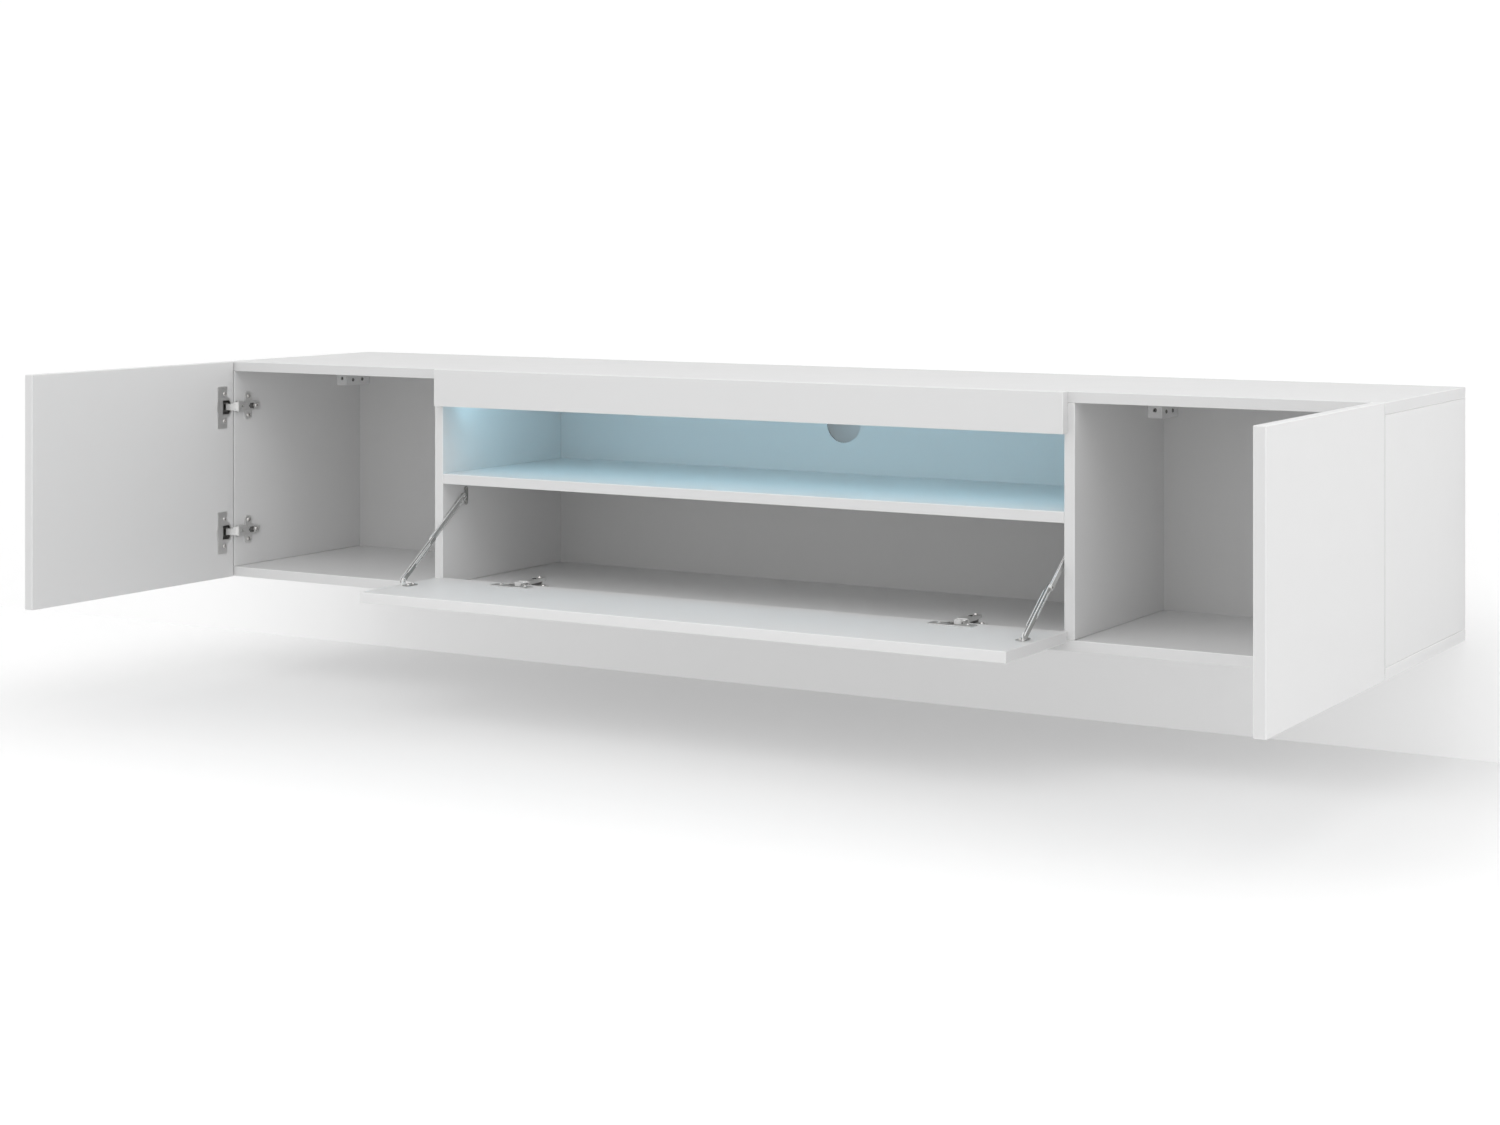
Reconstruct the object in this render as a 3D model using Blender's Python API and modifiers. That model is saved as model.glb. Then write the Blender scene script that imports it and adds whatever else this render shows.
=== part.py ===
"""Wall-hung television cabinet in white laminated board, shown with its two
side doors and its centre flap open.

+X runs to the right of someone facing the cabinet, +Y into the wall and +Z up.
The origin is on the wall plane, at mid-width, halfway up the bottom board's
rear edge. All lengths are in metres.
"""

import math

import bmesh
import bpy
from mathutils import Matrix, Vector

# Overall size and boards
WIDTH = 2.000
HEIGHT = 0.362
DEPTH = 0.374
BOARD = 0.016
SEAM = 0.0003
BOARD_ROUND = 0.0007
COMPARTMENT_WIDTH = 0.425
SHELF_UNDERSIDE = 0.178

# Back boards, seated in grooves, with a service gap to the wall
BACK_THICK = 0.003
BACK_GAP = 0.045
GROOVE_DEPTH = 0.006
GROOVE_END = 0.010
CABLE_HOLE_RADIUS = 0.031
CABLE_HOLE_X = 0.011
CABLE_HOLE_HEIGHT = 0.274

# Fronts: two doors, a fascia board above the niche and a flap below it
FRONT_GAP = 0.0035
DOOR_OVERLAY = 0.007
FASCIA_HEIGHT = 0.059
FLAP_REACH = 0.196
FLAP_LIFT = 0.0124
DOOR_HINGE_INSET = 0.076
FLAP_HINGE_INSET = 0.1640

# Cup hinges, measured in from the front's hinged edge and back from the carcass
CUP_RADIUS = 0.0175
CUP_DEPTH = 0.0125
CUP_EDGE = 0.0225
CUP_FLOOR = 0.0007
CUP_WALL = 0.0009
CUP_MOUTH_HALF = 0.012
CUP_MOUTH_FAR = 0.0268
BORE_SLACK = 0.0004
FLANGE_THICK = 0.0012
FLANGE_NEAR = 0.0163
FLANGE_FAR = 0.0383
FLANGE_HALF = 0.035
FLANGE_SCREW = 0.0228
FLANGE_CORNER = 0.0016
RIM_EXTRA = 0.0012
CUP_PIN_EDGE = 0.024
CUP_PIN_SINK = 0.004
CUP_PIN_RADIUS = 0.0014
FIXED_PIN_OFFSET = 0.00863
FIXED_PIN_RADIUS = 0.0012
LINK_HALF = 0.0070
LINK_CHEEK = 0.0012
LINK_END_RADIUS = 0.0018
NOSE_HALF = 0.0054
NOSE_THICK = 0.0026
NOSE_REACH = 0.0192
FLARE_HALF = 0.0072
FLARE_START = 0.0062
FLARE_THICK = 0.0022
FORK_RADIUS = 0.0120
ARM_TOP = 0.0245
ARM_SKIRT = 0.0057
ARM_SHEET = 0.0013
ARM_FRONT = 0.001
ARM_REAR = 0.054
CRANK_END = 0.007
ARM_FRONT_HALF = 0.0095
ARM_REAR_HALF = 0.0062
WING_CENTRE = 0.032
WING_WIDTH = 0.016
WING_HALF = 0.023
WING_THICK = 0.0018
WING_SCREW = 0.016
RAIL_HALF = 0.0044
RAIL_NEAR = 0.010
RAIL_FAR = 0.048
RAIL_CORNER = 0.001
CRANK_SHARE = 0.35
FLAP_ARM_DROP = 0.0036
FLAP_WING_RISE = 0.0046
SCREW_HOLE_RADIUS = 0.0022

# Folding flap stays: points are (distance behind the front edges, height)
STAY_TOP = (0.0511, 0.1540)
STAY_FOOT = (-0.1105, 0.0365)
STAY_ELBOW_SHARE = 0.5235
STAY_EYE_RADIUS = 0.0048
STAY_ARM_THICK = 0.0026
STAY_POCKET = 0.0014
STAY_RIM = 0.0012
STAY_POCKET_SHARE = 0.58
STAY_LIP = 0.0024
STAY_LIP_THICK = 0.0009
STAY_LIP_INSET = 0.0001
STAY_PLATE = 0.0015
STAY_RIVET_RADIUS = 0.0024
STAY_BRACKET_HEIGHT = 0.030
STAY_BRACKET_WIDTH = 0.0085
STAY_BRACKET_SETBACK = 0.0088
STAY_FOOT_LENGTH = 0.026
STAY_FOOT_WIDTH = 0.013

# Wall hangers in the four upper rear corners
HANGER_WIDTH = 0.0225
HANGER_LENGTH = 0.062
HANGER_HEIGHT = 0.038
HANGER_SHEET = 0.0016
HOOK_THICK = 0.003
HOOK_HEIGHT = 0.018
HOOK_WALL_GAP = 0.004
HOOK_NOTCH_SLACK = 0.003

# Light strip under the top board, behind the fascia
LIGHT_END_GAP = 0.008
LIGHT_WIDTH = 0.0174
LIGHT_HEIGHT = 0.0070
LIGHT_WALL = 0.0012
LIGHT_SETBACK = 0.014
DIFFUSER_DROP = 0.0022

WELD = 0.000002
ROUND_STEPS = 6
CIRCLE_STEPS = 24

UNDERSIDE = -BOARD / 2
FRONT = -DEPTH
TOP = UNDERSIDE + HEIGHT
CLEAR_LOW = UNDERSIDE + BOARD
CLEAR_HIGH = TOP - BOARD
SIDE_INNER = WIDTH / 2 - BOARD
DIVIDER_OUTER = SIDE_INNER - COMPARTMENT_WIDTH
DIVIDER_INNER = DIVIDER_OUTER - BOARD
DOOR_WIDTH = BOARD + COMPARTMENT_WIDTH + DOOR_OVERLAY
FRONT_END = WIDTH / 2 - DOOR_WIDTH - FRONT_GAP
BACK_FACE = -BACK_GAP - BACK_THICK

for thing in list(bpy.data.objects):
    bpy.data.objects.remove(thing, do_unlink=True)

parts = bpy.data.collections.new("wall_cabinet")
cutters = bpy.data.collections.new("cutters")
bpy.context.scene.collection.children.link(parts)
bpy.context.scene.collection.children.link(cutters)


def material(name, colour, roughness, metallic=0.0):
    """A plain Principled material."""
    made = bpy.data.materials.new(name)
    made.use_nodes = True
    shader = made.node_tree.nodes["Principled BSDF"]
    shader.inputs["Base Color"].default_value = (*colour, 1.0)
    shader.inputs["Roughness"].default_value = roughness
    shader.inputs["Metallic"].default_value = metallic
    return made


def board_finish(name):
    return material(name, (0.80, 0.80, 0.79), 0.42)


def nickel_finish(name):
    return material(name, (0.62, 0.62, 0.61), 0.28, 1.0)


def zinc_finish(name):
    return material(name, (0.48, 0.49, 0.50), 0.38, 1.0)


def mesh_of(bm):
    """The mesh of a finished bmesh, with its faces pointing out."""
    bmesh.ops.recalc_face_normals(bm, faces=bm.faces)
    mesh = bpy.data.meshes.new("piece")
    bm.to_mesh(mesh)
    bm.free()
    return mesh


def box(low, high):
    """A box between two opposite corners."""
    size = Vector(high) - Vector(low)
    middle = (Vector(high) + Vector(low)) / 2
    bm = bmesh.new()
    bmesh.ops.create_cube(bm, size=1.0)
    bmesh.ops.transform(bm, matrix=Matrix.Translation(middle) @ Matrix.Diagonal((*size, 1)), verts=bm.verts)
    return mesh_of(bm)


def cylinder(centre, axis, radius, low, high, steps=CIRCLE_STEPS):
    """A round bar along local x, y or z, between two positions on that axis."""
    turn = {
        "x": Matrix.Rotation(math.pi / 2, 4, "Y"),
        "y": Matrix.Rotation(-math.pi / 2, 4, "X"),
        "z": Matrix.Identity(4),
    }[axis]
    along = {"x": Vector((1, 0, 0)), "y": Vector((0, 1, 0)), "z": Vector((0, 0, 1))}[axis]
    middle = Vector(centre) + along * (low + high) / 2
    bm = bmesh.new()
    bmesh.ops.create_cone(
        bm, cap_ends=True, segments=steps, radius1=radius, radius2=radius, depth=high - low
    )
    bmesh.ops.transform(bm, matrix=Matrix.Translation(middle) @ turn, verts=bm.verts)
    return mesh_of(bm)


# Frames for flat outlines: an outline's own u, v and normal, as local x, y, z
ALONG_Z = Matrix.Identity(4)
ALONG_X = Matrix(((0, 0, 1, 0), (1, 0, 0, 0), (0, 1, 0, 0), (0, 0, 0, 1)))


def plate(outline, low, high, frame=ALONG_Z):
    """A closed outline, filled and extruded from low to high along its normal."""
    curve = bpy.data.curves.new("outline", "CURVE")
    curve.dimensions = "2D"
    curve.fill_mode = "BOTH"
    curve.extrude = (high - low) / 2
    spline = curve.splines.new("POLY")
    spline.points.add(len(outline) - 1)
    for point, (u, v) in zip(spline.points, outline):
        point.co = (u, v, 0, 1)
    spline.use_cyclic_u = True
    drawn = bpy.data.objects.new("outline", curve)
    parts.objects.link(drawn)
    filled = drawn.evaluated_get(bpy.context.evaluated_depsgraph_get())
    bm = bmesh.new()
    flat = bpy.data.meshes.new_from_object(filled)
    bm.from_mesh(flat)
    bpy.data.objects.remove(drawn, do_unlink=True)
    bmesh.ops.remove_doubles(bm, verts=bm.verts, dist=WELD)
    lift = Matrix.Translation((0, 0, (low + high) / 2))
    bmesh.ops.transform(bm, matrix=frame @ lift, verts=bm.verts)
    return mesh_of(bm)


def rounded(corners, steps=ROUND_STEPS):
    """An outline whose corners (u, v, radius) are replaced by arcs."""
    outline = []
    for index, (u, v, radius) in enumerate(corners):
        here = Vector((u, v))
        before = (Vector(corners[index - 1][:2]) - here).normalized()
        after = (Vector(corners[(index + 1) % len(corners)][:2]) - here).normalized()
        if radius == 0:
            outline.append((u, v))
            continue
        half = math.acos(max(-1, min(1, before.dot(after)))) / 2
        reach = radius / math.tan(half)
        middle = here + (before + after).normalized() * radius / math.sin(half)
        start = here + before * reach - middle
        end = here + after * reach - middle
        sweep = math.atan2(start.x * end.y - start.y * end.x, start.dot(end))
        for step in range(steps + 1):
            spoke = Matrix.Rotation(sweep * step / steps, 2) @ start
            outline.append(tuple(middle + spoke))
    return outline


def capsule(start, end, radius, steps=10):
    """The outline of a strip with round ends about two points."""
    start = Vector(start)
    end = Vector(end)
    along = math.atan2(end.y - start.y, end.x - start.x)
    outline = []
    for centre, turn in ((end, along - math.pi / 2), (start, along + math.pi / 2)):
        for step in range(steps + 1):
            angle = turn + math.pi * step / steps
            outline.append((centre.x + radius * math.cos(angle), centre.y + radius * math.sin(angle)))
    return outline


def band(path, thickness):
    """The outline of a bent strip of even thickness along a path."""
    points = [Vector(point) for point in path]
    left = []
    right = []
    for index, point in enumerate(points):
        back = (point - points[index - 1]).normalized() if index else None
        ahead = (points[index + 1] - point).normalized() if index + 1 < len(points) else None
        first = back if back is not None else ahead
        second = ahead if ahead is not None else back
        normal = Vector((-first.y - second.y, first.x + second.x)).normalized()
        half = thickness / 2 / normal.dot(Vector((-second.y, second.x)))
        left.append(tuple(point + normal * half))
        right.append(tuple(point - normal * half))
    return left + right[::-1]


def shaped(body, cuts=(), adds=(), smooth=True):
    """One mesh from a body mesh, with others joined to it and then cut from it."""
    worked = bpy.data.objects.new("worked", body)
    parts.objects.link(worked)
    helpers = []
    for operation, meshes in (("UNION", adds), ("DIFFERENCE", cuts)):
        for mesh in meshes:
            helper = bpy.data.objects.new("helper", mesh)
            parts.objects.link(helper)
            helpers.append(helper)
            step = worked.modifiers.new(operation.lower(), "BOOLEAN")
            step.operation = operation
            step.object = helper
    evaluated = worked.evaluated_get(bpy.context.evaluated_depsgraph_get())
    mesh = bpy.data.meshes.new_from_object(evaluated)
    for helper in helpers + [worked]:
        bpy.data.objects.remove(helper, do_unlink=True)
    if smooth:
        mesh.shade_smooth()
        mesh.set_sharp_from_angle(angle=math.radians(35))
    return mesh


def piece(name, mesh, look, parent=None, matrix=None):
    """A named sub-part, placed in the world and carried by its parent."""
    mesh = mesh.copy()
    mesh.name = name
    mesh.materials.clear()
    mesh.materials.append(look)
    made = bpy.data.objects.new(name, mesh)
    parts.objects.link(made)
    placed = matrix if matrix is not None else Matrix.Identity(4)
    if parent is not None:
        made.parent = parent
        made.matrix_parent_inverse = parent.matrix_basis.inverted()
    made.matrix_basis = placed
    return made


def board(name, low, high, parent=None):
    """A laminated board with its edges just broken, its origin at its middle."""
    middle = (Vector(low) + Vector(high)) / 2
    body = box(Vector(low) - middle, Vector(high) - middle)
    made = piece(name, body, board_finish(name), parent, Matrix.Translation(middle))
    edge = made.modifiers.new("broken_edges", "BEVEL")
    edge.width = BOARD_ROUND
    edge.segments = 1
    return made


def cut(target, name, mesh, matrix=None):
    """Leaves a hidden cutter on a board."""
    cutter = bpy.data.objects.new(name, mesh)
    cutters.objects.link(cutter)
    cutter.matrix_basis = matrix if matrix is not None else Matrix.Identity(4)
    cutter.hide_render = True
    cutter.display_type = "WIRE"
    step = target.modifiers.new(name, "BOOLEAN")
    step.operation = "DIFFERENCE"
    step.object = cutter


def pivot(name, location):
    """An empty on a joint's axis."""
    made = bpy.data.objects.new(name, None)
    made.empty_display_size = 2 * BOARD
    made.matrix_basis = Matrix.Translation(location)
    parts.objects.link(made)
    return made


# Carcass. The top and bottom boards run the full width and cap the sides and
# the dividers. Grooves take the thin back boards.
top_panel = board("top_panel", (-WIDTH / 2, FRONT, CLEAR_HIGH), (WIDTH / 2, 0, TOP))
bottom_panel = board("bottom_panel", (-WIDTH / 2, FRONT, UNDERSIDE), (WIDTH / 2, 0, CLEAR_LOW))
uprights = {}
for name, low_x, high_x in (
    ("left_side", -WIDTH / 2, -SIDE_INNER),
    ("left_divider", -DIVIDER_OUTER, -DIVIDER_INNER),
    ("right_divider", DIVIDER_INNER, DIVIDER_OUTER),
    ("right_side", SIDE_INNER, WIDTH / 2),
):
    low = (low_x, FRONT, CLEAR_LOW + SEAM)
    high = (high_x, 0, CLEAR_HIGH - SEAM)
    uprights[name] = board(name, low, high)
shelf = board(
    "shelf",
    (-DIVIDER_INNER + SEAM, FRONT, UNDERSIDE + SHELF_UNDERSIDE),
    (DIVIDER_INNER - SEAM, BACK_FACE - SEAM, UNDERSIDE + SHELF_UNDERSIDE + BOARD),
)

groove_near = BACK_FACE - SEAM
groove_far = -BACK_GAP + SEAM
groove_half = WIDTH / 2 - GROOVE_END
for target, face, way in ((top_panel, CLEAR_HIGH, 1), (bottom_panel, CLEAR_LOW, -1)):
    heights = sorted((face - way * GROOVE_DEPTH, face + way * GROOVE_DEPTH))
    low = (-groove_half, groove_near, heights[0])
    high = (groove_half, groove_far, heights[1])
    cut(target, target.name + "_groove", box(low, high))
for name, face in (
    ("left_side", -SIDE_INNER),
    ("left_divider", -DIVIDER_OUTER),
    ("left_divider", -DIVIDER_INNER),
    ("right_divider", DIVIDER_INNER),
    ("right_divider", DIVIDER_OUTER),
    ("right_side", SIDE_INNER),
):
    low = (face - GROOVE_DEPTH, groove_near, CLEAR_LOW - BOARD)
    high = (face + GROOVE_DEPTH, groove_far, CLEAR_HIGH + BOARD)
    cut(uprights[name], name + "_groove", box(low, high))

seat = GROOVE_DEPTH - 2 * SEAM
backs = {}
for name, low_x, high_x in (
    ("left_back", -SIDE_INNER, -DIVIDER_OUTER),
    ("centre_back", -DIVIDER_INNER, DIVIDER_INNER),
    ("right_back", DIVIDER_OUTER, SIDE_INNER),
):
    low = (low_x - seat, BACK_FACE, CLEAR_LOW - seat)
    high = (high_x + seat, -BACK_GAP, CLEAR_HIGH + seat)
    backs[name] = piece(name, box(low, high), board_finish(name))
cable_hole = cylinder(
    (CABLE_HOLE_X, 0, UNDERSIDE + CABLE_HOLE_HEIGHT),
    "y",
    CABLE_HOLE_RADIUS,
    BACK_FACE - BACK_THICK,
    BACK_THICK - BACK_GAP,
    steps=40,
)
cut(backs["centre_back"], "cable_hole", cable_hole)

fascia = board(
    "fascia",
    (-FRONT_END, FRONT - SEAM - BOARD, TOP - FASCIA_HEIGHT),
    (FRONT_END, FRONT - SEAM, TOP),
)


# Light strip: an aluminium channel under the top board with an opal cover.
light_low = FRONT + LIGHT_SETBACK
light_high = light_low + LIGHT_WIDTH
light_top = CLEAR_HIGH - SEAM
light_half = DIVIDER_INNER - LIGHT_END_GAP
profile_outline = [
    (light_low, light_top - LIGHT_HEIGHT),
    (light_low + LIGHT_WALL, light_top - LIGHT_HEIGHT),
    (light_low + LIGHT_WALL, light_top - LIGHT_WALL),
    (light_high - LIGHT_WALL, light_top - LIGHT_WALL),
    (light_high - LIGHT_WALL, light_top - LIGHT_HEIGHT),
    (light_high, light_top - LIGHT_HEIGHT),
    (light_high, light_top),
    (light_low, light_top),
]
profile = plate(profile_outline, -light_half, light_half, ALONG_X)
piece("light_profile", profile, material("light_profile", (0.70, 0.71, 0.72), 0.35, 1.0))
diffuser_low = light_low + LIGHT_WALL + SEAM
diffuser_high = light_high - LIGHT_WALL - SEAM
diffuser_base = light_top - LIGHT_HEIGHT - DIFFUSER_DROP
diffuser_round = DIFFUSER_DROP
diffuser_outline = rounded(
    [
        (diffuser_low, light_top - LIGHT_WALL - SEAM, 0),
        (diffuser_low, diffuser_base, diffuser_round),
        (diffuser_high, diffuser_base, diffuser_round),
        (diffuser_high, light_top - LIGHT_WALL - SEAM, 0),
    ],
    steps=4,
)
diffuser = plate(diffuser_outline, -light_half, light_half, ALONG_X)
piece("light_diffuser", diffuser, material("light_diffuser", (0.72, 0.88, 0.95), 0.5))


# Wall hangers: a pressed housing screwed to an upright holds a steel hook,
# which passes through a notch in the back board towards the wall rail.
def hanger(name, face, way, back):
    """face is the upright's surface and way the direction away from it."""
    near = BACK_FACE - SEAM - HANGER_LENGTH
    far = BACK_FACE - SEAM
    top = CLEAR_HIGH - SEAM
    base = top - HANGER_HEIGHT
    outline = rounded(
        [
            (near, top, HANGER_SHEET),
            (near, base, HANGER_SHEET),
            (far, base, HANGER_SHEET),
            (far, top, HANGER_SHEET),
        ]
    )
    sides = sorted((face + way * SEAM, face + way * HANGER_WIDTH))
    middle = face + way * HANGER_WIDTH / 2
    hook_top = top - HANGER_HEIGHT / 4
    hook_base = hook_top - HOOK_HEIGHT
    hook_sides = (middle - HOOK_THICK / 2, middle + HOOK_THICK / 2)
    slot_near = far - HANGER_LENGTH / 3
    slot = box(
        (hook_sides[0] - SEAM, slot_near - SEAM, hook_base - SEAM),
        (hook_sides[1] + SEAM, far + HANGER_SHEET, hook_top + SEAM),
    )
    screws = []
    for share in (0.32, 0.68):
        spot = (middle, 0, base + HANGER_HEIGHT * share)
        screws.append(
            cylinder(spot, "y", HANGER_WIDTH / 7, near - HANGER_SHEET, near + 3 * HANGER_SHEET, steps=16)
        )
    housing = shaped(plate(outline, sides[0], sides[1], ALONG_X), cuts=[slot] + screws)
    piece(name, housing, zinc_finish(name))
    claw = HOOK_HEIGHT / 3
    tip = -HOOK_WALL_GAP
    hook_outline = [
        (slot_near, hook_base),
        (tip - 2 * claw, hook_base),
        (tip - claw, hook_base + claw / 2),
        (tip - claw, hook_base - claw),
        (tip - claw / 2, hook_base - 3 * claw / 2),
        (tip, hook_base - claw),
        (tip, hook_top - claw),
        (tip - claw, hook_top),
        (slot_near, hook_top),
    ]
    hook = plate(hook_outline, hook_sides[0], hook_sides[1], ALONG_X)
    piece(name + "_hook", hook, zinc_finish(name + "_hook"))
    notch = box(
        (hook_sides[0] - HOOK_NOTCH_SLACK, BACK_FACE - BACK_THICK, hook_base - HOOK_NOTCH_SLACK),
        (hook_sides[1] + HOOK_NOTCH_SLACK, BACK_THICK - BACK_GAP, hook_top + HOOK_NOTCH_SLACK),
    )
    cut(backs[back], name + "_notch", notch)


hanger("left_outer_hanger", -SIDE_INNER, 1, "left_back")
hanger("left_inner_hanger", -DIVIDER_OUTER, -1, "left_back")
hanger("right_inner_hanger", DIVIDER_OUTER, 1, "right_back")
hanger("right_outer_hanger", SIDE_INNER, -1, "right_back")


# Fronts, modelled open. Each turns about an axis half a board in from its
# hinged edge and far enough forward for its corner to clear the carcass.
axis_in = BOARD / 2
axis_y = FRONT - FRONT_GAP - BOARD / 2
left_axis = pivot("left_door_axis", (-WIDTH / 2 + axis_in, axis_y, 0))
right_axis = pivot("right_door_axis", (WIDTH / 2 - axis_in, axis_y, 0))
flap_axis = pivot("flap_axis", (0, axis_y, UNDERSIDE + FLAP_LIFT + axis_in))

door_far = FRONT - FRONT_GAP - DOOR_WIDTH
door_near = FRONT - FRONT_GAP
left_door = board(
    "left_door", (-WIDTH / 2, door_far, UNDERSIDE), (-SIDE_INNER, door_near, TOP), left_axis
)
right_door = board(
    "right_door", (SIDE_INNER, door_far, UNDERSIDE), (WIDTH / 2, door_near, TOP), right_axis
)
flap = board(
    "flap",
    (-FRONT_END, door_near - FLAP_REACH, UNDERSIDE + FLAP_LIFT),
    (FRONT_END, door_near, UNDERSIDE + FLAP_LIFT + BOARD),
    flap_axis,
)


# Cup hinges. Local x runs in from the front's hinged edge, local y back from
# the carcass's front edges and local z along the hinge.
cup_y = -FRONT_GAP - CUP_EDGE
cup_pin_open = Vector((BOARD - CUP_PIN_SINK, -FRONT_GAP - CUP_PIN_EDGE))
cup_pin_closed = Vector((CUP_PIN_EDGE, -FRONT_GAP - CUP_PIN_SINK))
span = cup_pin_closed - cup_pin_open
fixed_pin = (cup_pin_open + cup_pin_closed) / 2 + Vector((-span.y, span.x)).normalized() * FIXED_PIN_OFFSET


def cup_mesh():
    """A round bowl under a screw flange that covers all but the mouth for the arm."""
    outer = BOARD + SEAM + FLANGE_THICK
    bowl = cylinder((0, cup_y, 0), "x", CUP_RADIUS, BOARD - CUP_DEPTH, outer - FLANGE_THICK / 2, 32)
    rim = cylinder((0, cup_y, 0), "x", CUP_RADIUS + RIM_EXTRA, BOARD + SEAM, outer, 32)
    near = -FRONT_GAP - FLANGE_NEAR
    far = -FRONT_GAP - FLANGE_FAR
    corner = FLANGE_CORNER
    wings = rounded(
        [
            (far, -FLANGE_HALF, corner),
            (near, -FLANGE_HALF, corner),
            (near, FLANGE_HALF, corner),
            (far, FLANGE_HALF, corner),
        ],
        steps=2,
    )
    flange = plate(wings, BOARD + SEAM, outer, ALONG_X)
    inner = CUP_RADIUS - CUP_WALL
    lean = math.asin(CUP_MOUTH_HALF / inner)
    chamber = []
    for start in (-lean, math.pi - lean):
        for step in range(7):
            angle = start + 2 * lean * step / 6
            chamber.append((cup_y + inner * math.cos(angle), inner * math.sin(angle)))
    mouth_half = CUP_MOUTH_HALF - SEAM
    mouth_far = -FRONT_GAP - CUP_MOUTH_FAR
    mouth_reach = inner - SEAM
    lean = math.asin(mouth_half / mouth_reach)
    mouth = [(mouth_far, mouth_half), (mouth_far, -mouth_half)]
    for step in range(7):
        angle = lean * (step - 3) / 3
        mouth.append((cup_y + mouth_reach * math.cos(angle), mouth_reach * math.sin(angle)))
    cuts = [
        plate(chamber, BOARD - CUP_DEPTH + CUP_FLOOR, BOARD, ALONG_X),
        plate(mouth, BOARD - FLANGE_THICK, outer + FLANGE_THICK, ALONG_X),
    ]
    for height in (-FLANGE_SCREW, FLANGE_SCREW):
        spot = (0, cup_y, height)
        cuts.append(cylinder(spot, "x", SCREW_HOLE_RADIUS, BOARD, outer + FLANGE_THICK, 14))
    hollow = shaped(bowl, adds=[rim, flange], cuts=cuts, smooth=False)
    stubs = []
    for low, high in (
        (-CUP_MOUTH_HALF - CUP_WALL, -LINK_HALF - CUP_WALL),
        (LINK_HALF + CUP_WALL, CUP_MOUTH_HALF + CUP_WALL),
    ):
        stubs.append(cylinder((*cup_pin_open, 0), "z", CUP_PIN_RADIUS, low, high, 12))
    return shaped(hollow, adds=stubs)


def link_mesh():
    """A fork whose cheeks straddle the nose, closed only at the cup's end."""
    solid = plate(capsule(fixed_pin, cup_pin_open, LINK_END_RADIUS), -LINK_HALF, LINK_HALF)
    eye = cylinder((*cup_pin_open, 0), "z", LINK_END_RADIUS + SEAM, -LINK_HALF, LINK_HALF, 16)
    gap_half = LINK_HALF - LINK_CHEEK
    gap = cylinder((*fixed_pin, 0), "z", FORK_RADIUS, -gap_half, gap_half, 32)
    hole = cylinder((*fixed_pin, 0), "z", FIXED_PIN_RADIUS + SEAM / 2, -BOARD, BOARD, 16)
    return shaped(solid, adds=[eye], cuts=[gap, hole])


def arm_mesh(drop):
    """A channel over the mounting plate, cranked forward into a gooseneck."""
    top = ARM_TOP - drop
    sheet_middle = top - ARM_SHEET
    path = [
        tuple(fixed_pin),
        (NOSE_REACH, fixed_pin.y),
        (NOSE_REACH, 0),
        (sheet_middle, CRANK_END + drop * CRANK_SHARE),
        (sheet_middle, RAIL_NEAR - SEAM + drop * CRANK_SHARE),
    ]
    neck = plate(band(path, NOSE_THICK), -NOSE_HALF, NOSE_HALF)
    flare = plate(band([(NOSE_REACH, -FLARE_START), *path[2:4]], FLARE_THICK), -FLARE_HALF, FLARE_HALF)
    eye = cylinder((*fixed_pin, 0), "z", LINK_END_RADIUS, -NOSE_HALF, NOSE_HALF, 16)
    pin = cylinder((*fixed_pin, 0), "z", FIXED_PIN_RADIUS, -LINK_HALF - SEAM, LINK_HALF + SEAM, 12)
    start = ARM_FRONT + drop * CRANK_SHARE
    skin = rounded(
        [
            (start, -ARM_FRONT_HALF, ARM_SHEET),
            (ARM_REAR, -ARM_REAR_HALF, ARM_REAR_HALF / 2),
            (ARM_REAR, ARM_REAR_HALF, ARM_REAR_HALF / 2),
            (start, ARM_FRONT_HALF, ARM_SHEET),
        ],
        steps=3,
    )
    inside = [
        (start + ARM_SHEET, ARM_SHEET - ARM_FRONT_HALF),
        (ARM_REAR - ARM_SHEET, ARM_SHEET - ARM_REAR_HALF),
        (ARM_REAR - ARM_SHEET, ARM_REAR_HALF - ARM_SHEET),
        (start + ARM_SHEET, ARM_FRONT_HALF - ARM_SHEET),
    ]
    shell = plate(skin, top - ARM_SKIRT, top, ALONG_X)
    hollow = plate(inside, top - 2 * ARM_SKIRT, top - ARM_SHEET, ALONG_X)
    channel = shaped(shell, cuts=[hollow], smooth=False)
    slot_start = WING_CENTRE - WING_WIDTH / 4
    slot = plate(
        capsule((slot_start, 0), (slot_start + WING_WIDTH / 2, 0), SCREW_HOLE_RADIUS, 6),
        top - ARM_SKIRT,
        top + ARM_SHEET,
        ALONG_X,
    )
    holes = [slot]
    for centre in (start + ARM_FRONT_HALF, ARM_REAR - ARM_FRONT_HALF):
        holes.append(
            cylinder((0, centre, 0), "x", SCREW_HOLE_RADIUS, top - ARM_SKIRT / 2, top + ARM_SHEET, 14)
        )
    return shaped(channel, adds=[neck, flare, eye, pin], cuts=holes)


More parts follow.
